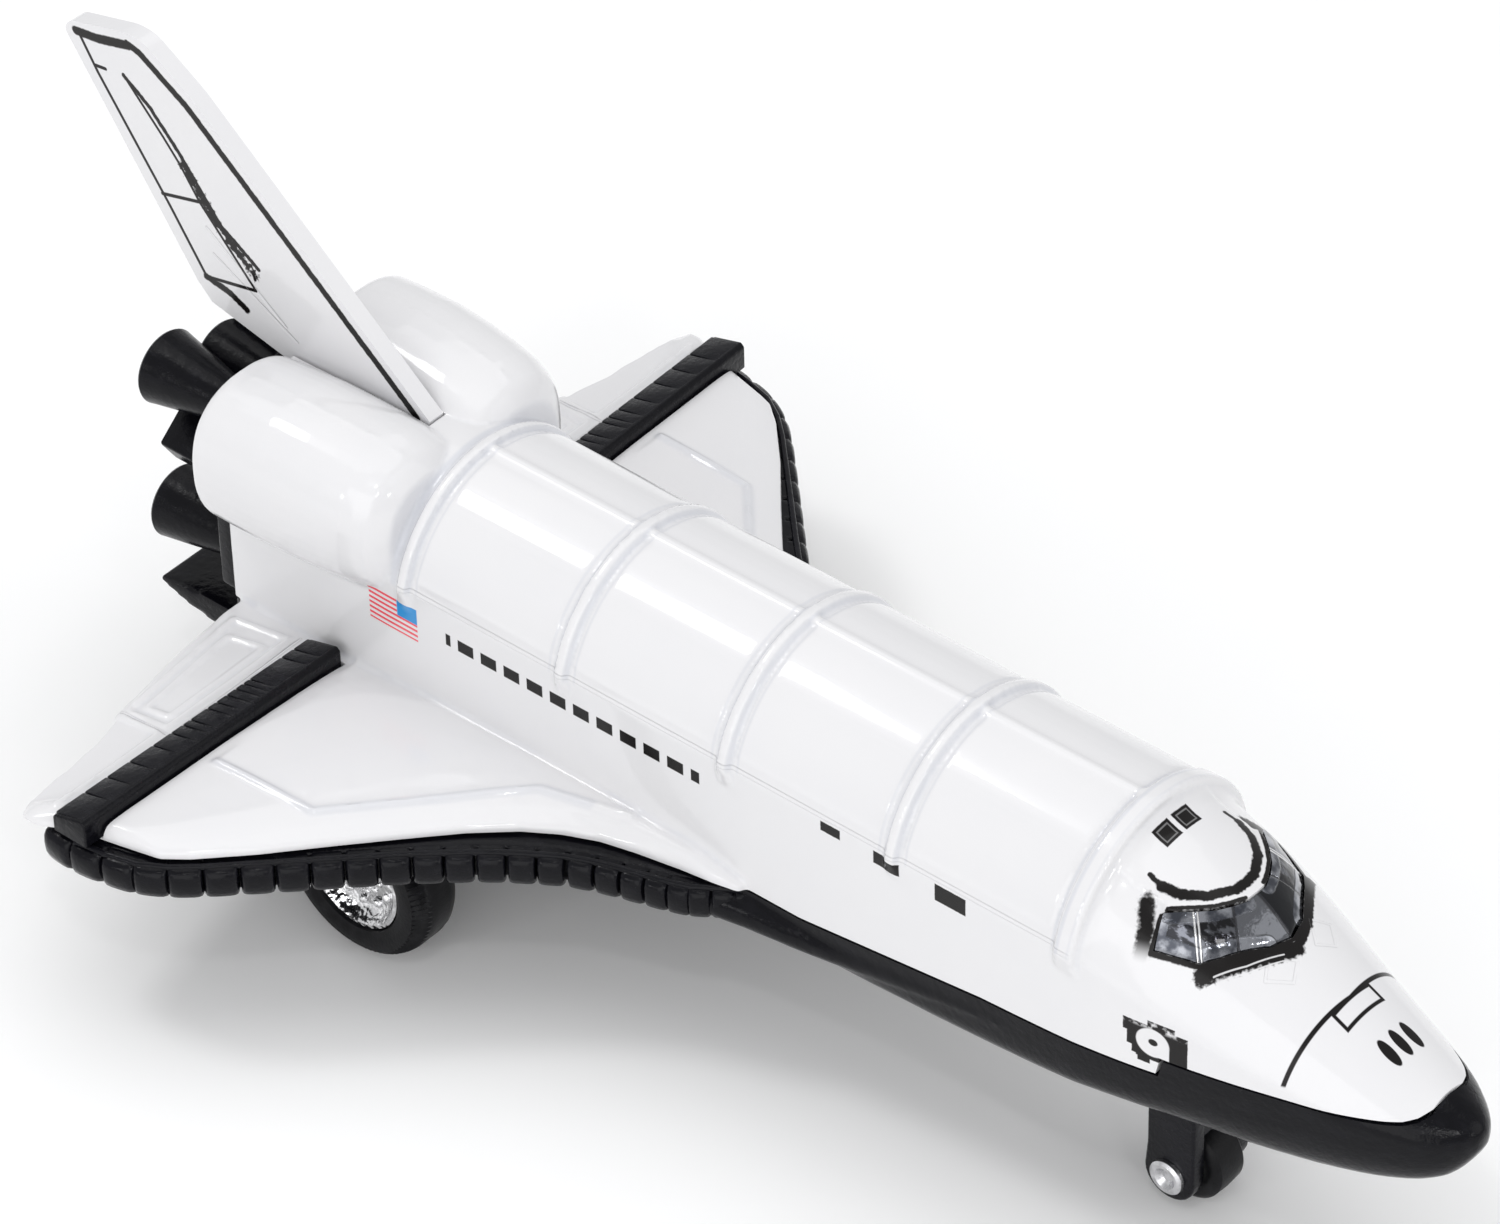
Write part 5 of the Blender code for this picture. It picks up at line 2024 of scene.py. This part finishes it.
@dataclass
class MainWheels:
    """Rear axle with its ribbed tyres and bright hubs."""

    station: float = WHEEL_STATION
    radius: float = WHEEL_RADIUS
    inner: float = 23.6
    width: float = 7.0
    hub: float = 6.8
    ribs: int = 84

    def build(self) -> list[bpy.types.Object]:
        """Builds the wheels and the axle.

        Returns:
            The finished pieces.
        """
        y = station_y(self.station)
        made = []
        vinyl = Rubber().dress("tyre_vinyl")
        bright = Plating(crinkle=0.35, scale=1.0, roughness=0.06).dress("hub_plating")
        rod = Plating(colour=(0.7, 0.7, 0.7), roughness=0.25).dress("axle_steel")
        for side, word in ((-1, "left"), (1, "right")):
            middle = side * (self.inner + self.width / 2.0)
            centre = (middle, y, self.radius)
            tyre, rim = self.tyre(side, centre), self.rim(side, centre)
            tyre_node, hub_node = f"main_tyre_{word}", f"main_hub_{word}"
            made.append(piece(tyre, f"tyre_{word}", vinyl, "main_wheels", (tyre_node,), 32.0))
            made.append(piece(rim, f"hub_{word}", bright, "main_wheels", (hub_node,), 35.0))
        half = self.inner + self.width - 1.6
        form = Form()
        form.lathe(
            ((0.0, -half), (0.8, -half), (1.1, -half + 0.3), (1.1, half - 0.3), (0.8, half), (0.0, half)),
            (0.0, y, self.radius),
            Axis.X,
            32,
            closed=False,
        )
        made.append(piece(form, "rear_axle", rod, "main_wheels", ("main_axle",), 35.0))
        return made

    def tyre(self, side: int, centre: Spot) -> Form:
        """One tyre with a ribbed shoulder.

        Args:
            side: -1 for the left, 1 for the right.
            centre: Middle of the tyre.

        Returns:
            The form.
        """
        form = Form()
        r = self.radius
        profile = [
            (self.hub + 0.02, 2.6), (self.hub + 0.25, 3.15), (self.hub + 0.9, 3.42), (r - 1.9, 3.5),
            (r - 1.2, 3.38), (r - 0.75, 3.05), (r - 0.35, 2.5), (r - 0.12, 1.9), (r, 1.2), (r, 0.0),
            (r, -1.6), (r - 0.15, -2.4), (r - 0.6, -3.1), (r - 1.4, -3.45), (self.hub + 0.4, -3.4),
            (self.hub + 0.02, -3.0),
        ]
        form.lathe([(radius, side * along) for radius, along in profile], centre, Axis.X, self.ribs * 2)
        axis = Vector(centre)
        for vert in form.mesh.verts:
            off = vert.co - axis
            radial = math.hypot(off.y, off.z)
            along = side * off.x
            if along > 1.7 and radial > r - 1.0:
                step = round(math.atan2(off.z, off.y) / WHOLE_TURN * self.ribs * 2)
                if step % 2:
                    shrink = (radial - 0.28) / radial
                    vert.co = axis + Vector((off.x - side * 0.16, off.y * shrink, off.z * shrink))
        return form

    def rim(self, side: int, centre: Spot) -> Form:
        """One plated hub with a crown of bumps.

        Args:
            side: -1 for the left, 1 for the right.
            centre: Middle of the hub.

        Returns:
            The form.
        """
        form = Form()
        h = self.hub - 0.05
        profile = [
            (0.0, 2.3), (0.7, 2.25), (1.35, 2.0), (1.5, 1.6), (2.4, 1.35), (3.6, 1.2), (4.9, 1.35),
            (5.6, 1.9), (6.0, 2.7), (6.3, 3.0), (h, 2.9), (h, -2.6), (0.0, -2.6),
        ]
        form.lathe([(radius, side * along) for radius, along in profile], centre, Axis.X, 56, closed=False)
        for index in range(12):
            angle = WHOLE_TURN * index / 12
            for radius, size, turn in ((4.25, 0.62, 0.0), (2.75, 0.42, math.pi / 12)):
                made = bmesh.ops.create_uvsphere(form.mesh, u_segments=10, v_segments=6, radius=size)
                spot = Vector((
                    centre[0] + side * 1.35,
                    centre[1] + radius * math.cos(angle + turn),
                    centre[2] + radius * math.sin(angle + turn),
                ))
                bmesh.ops.scale(form.mesh, vec=(0.8, 1.0, 1.0), verts=made["verts"])
                bmesh.ops.translate(form.mesh, vec=spot, verts=made["verts"])
        return form


@dataclass
class NoseGear:
    """Fork, rivet and small wheel under the nose."""

    station: float = NOSE_WHEEL_STATION
    radius: float = NOSE_WHEEL_RADIUS
    width: float = 4.8
    inner: float = 2.9
    outer: float = FORK_HALF_WIDTH
    boss: float = 3.3
    top: float = FORK_TOP

    def build(self) -> list[bpy.types.Object]:
        """Builds the gear.

        Returns:
            The finished pieces.
        """
        y, z = station_y(self.station), self.radius
        black = Moulding(roughness=0.22).dress("fork_moulding")
        form = Form()
        for side in (-1, 1):
            low, high = sorted((side * self.inner, side * self.outer))
            outline = [(y - FORK_FRONT, self.top), (y - FORK_FRONT, 8.4)]
            for index in range(13):
                angle = math.pi + math.pi * index / 12
                outline.append((y + self.boss * math.cos(angle), z + self.boss * math.sin(angle)))
            outline += [(y + FORK_REAR, 8.4), (y + FORK_REAR, self.top)]
            verts = form.slab(outline, low, high, Axis.X)
            rim = [e for e in form.edges_of(verts) if abs(e.verts[0].co.x - e.verts[1].co.x) < 0.01]
            form.rounded(rim, 0.35, 3)
        form.block((-self.inner - 0.5, y - 3.2, 11.2), (self.inner + 0.5, y + 2.9, self.top), 0.3)
        made = [piece(form, "nose_fork", black, "shuttle", ("nose_gear_fork",), 35.0)]
        pin = Form()
        head = self.outer
        for side in (-1, 1):
            profile = [
                (0.0, 0.05), (0.75, 0.08), (0.95, 0.3), (1.35, 0.72), (1.75, 0.75), (2.15, 0.5), (2.2, 0.05),
            ]
            pin.lathe([(r, side * (head + a)) for r, a in profile], (0.0, y, z), Axis.X, 40, closed=False)
        shank = ((0.0, -head), (0.9, -head), (0.9, head), (0.0, head))
        pin.lathe(shank, (0.0, y, z), Axis.X, 24, closed=False)
        steel = Plating((0.78, 0.78, 0.8), 0.18, 0.05).dress("rivet_plating")
        made.append(piece(pin, "nose_rivet", steel, "shuttle", ("nose_pin",), 35.0))
        made.append(self.wheel(y, z))
        return made

    def wheel(self, y: float, z: float) -> bpy.types.Object:
        """Smooth rounded nose wheel.

        Args:
            y: Place of its axis.
            z: Height of its axis.

        Returns:
            The finished piece.
        """
        form = Form()
        half, r = self.width / 2.0, self.radius
        profile = [(1.2, half - 0.8), (2.4, half - 0.5), (3.0, half - 0.1)]
        for index in range(9):
            angle = math.pi / 2 * (1 - index / 4)
            side = (index < 4) - (index > 4)
            along = (half - 0.9) * side + 0.9 * math.sin(angle)
            profile.append((r - 1.3 + 1.3 * math.cos(angle), along))
        profile += [(3.0, -half + 0.1), (2.4, -half + 0.5), (1.2, -half + 0.8)]
        form.lathe(profile, (0.0, y, z), Axis.X, 56)
        vinyl = Rubber().dress("nose_vinyl")
        return piece(form, "nose_wheel_tyre", vinyl, "nose_wheel", ("nose_wheel",), 40.0)


@dataclass
class MotorCase:
    """Black case of the pull-back motor."""

    half_width: float = MOTOR_HALF_WIDTH
    half_length: float = MOTOR_HALF_LENGTH
    bottom: float = 5.4
    top: float = 26.0

    def build(self) -> list[bpy.types.Object]:
        """Builds the case.

        Returns:
            The finished pieces.
        """
        finish = Moulding(roughness=0.32).dress("motor_moulding")
        y = station_y(WHEEL_STATION)
        form = Form()
        low = (-self.half_width, y - self.half_length, self.bottom)
        high = (self.half_width, y + self.half_length, self.top)
        form.block(low, high, 0.8, 3)
        return [piece(form, "motor_case", finish, "shuttle", ("pullback_motor",), 35.0)]


@dataclass
class Studio:
    """Pale floor, soft lights and the camera."""

    sky: Colour = (0.985, 0.99, 1.0)
    sky_strength: float = 0.66

    def build(self) -> None:
        """Sets up the stage."""
        self.floor()
        self.world()
        for name, place, size, power in (
            ("doors", (-0.17, 0.51, 0.84), 0.18, 1.2),
            ("pods", (-0.80, 0.13, 0.34), 0.10, 0.34),
            ("front", (-0.36, -0.60, 0.48), 0.09, 0.30),
            ("near side", (-0.80, -0.35, 0.35), 0.70, 2.2),
            ("nose side", (0.30, -0.80, 0.45), 0.60, 1.0),
            ("top", (0.15, 0.20, 0.90), 0.90, 2.2),
            ("cap", (-0.07, -0.95, 0.29), 0.06, 0.40),
            ("beads", (-0.42, -0.28, 0.86), 0.05, 0.35),
        ):
            self.lamp(name, place, size, power)
        self.camera()
        bpy.context.scene.view_settings.view_transform = "Standard"

    def floor(self) -> None:
        """Adds the floor."""
        form = Form()
        form.block((-3000.0, -3000.0, -2.0), (3000.0, 3000.0, 0.0))
        recipe = Recipe("pale_floor")
        tone = recipe.noise(0.004, 2.0)
        colour = recipe.tint(tone * 0.2, (0.96, 0.96, 0.96), (0.94, 0.94, 0.945))
        recipe.feed(recipe.shader.inputs["Base Color"], colour)
        recipe.fixed(Roughness=0.75)
        data = form.data("floor")
        data.transform(Matrix.Scale(MM, 4))
        data.materials.append(recipe.material)
        loose_object(data, "floor")

    def world(self) -> None:
        """Adds even light from all round."""
        sky = bpy.data.worlds.new("studio")
        sky.use_nodes = True
        background = sky.node_tree.nodes["Background"]
        background.inputs[0].default_value = (*self.sky, 1.0)
        background.inputs[1].default_value = self.sky_strength
        bpy.context.scene.world = sky

    def lamp(self, name: str, place: Spot, size: float, power: float) -> None:
        """Adds one soft box that looks at the toy.

        Args:
            name: Its name.
            place: Where it stands, in metres.
            size: Side of the box, in metres.
            power: Its strength in watts.
        """
        light = bpy.data.lights.new(name, "AREA")
        light.shape = "SQUARE"
        light.size = size
        light.energy = power
        made = bpy.data.objects.new(name, light)
        bpy.context.scene.collection.objects.link(made)
        made.location = place
        aim = Vector((0.0, 0.0, 0.03)) - Vector(place)
        made.rotation_euler = aim.to_track_quat("-Z", "Y").to_euler()

    def camera(self) -> None:
        """Adds the camera at the viewing angle of the photograph."""
        azimuth, elevation, roll = (math.radians(v) for v in (-48.45, 39.85, -1.47))
        distance, target = 769.14, Vector((1.35, 0.68, 44.97))
        width, height, focal = 1500, 1224, 7090.91
        centre_x, centre_y = 751.37, 619.98
        flat = math.cos(elevation)
        back = Vector((math.sin(azimuth) * flat, -math.cos(azimuth) * flat, math.sin(elevation)))
        level = Vector((math.cos(azimuth), math.sin(azimuth), 0.0))
        upright = back.cross(level)
        right = level * math.cos(roll) + upright * math.sin(roll)
        up = upright * math.cos(roll) - level * math.sin(roll)
        place = (target + back * distance) * MM
        lens = bpy.data.cameras.new("photo_view")
        lens.sensor_width = 36.0
        lens.lens = focal / width * 36.0
        lens.shift_x = (width / 2.0 - centre_x) / width
        lens.shift_y = (centre_y - height / 2.0) / width
        lens.clip_start, lens.clip_end = 0.01, 20.0
        made = bpy.data.objects.new("photo_view", lens)
        bpy.context.scene.collection.objects.link(made)
        made.matrix_world = Matrix((
            (right.x, up.x, back.x, place.x),
            (right.y, up.y, back.y, place.y),
            (right.z, up.z, back.z, place.z),
            (0.0, 0.0, 0.0, 1.0),
        ))
        bpy.context.scene.camera = made


def main() -> None:
    """Builds every sub-assembly in order."""
    logging.basicConfig(level=logging.INFO, format="%(message)s")
    parts = (
        Studio(), Casting(), TailFin(), WindowBand(), Base(),
        WingStrips(), Engines(), MainWheels(), NoseGear(), MotorCase(),
    )
    for part in parts:
        part.build()
        log.info("%s done", type(part).__name__)


if __name__ == "__main__":
    main()
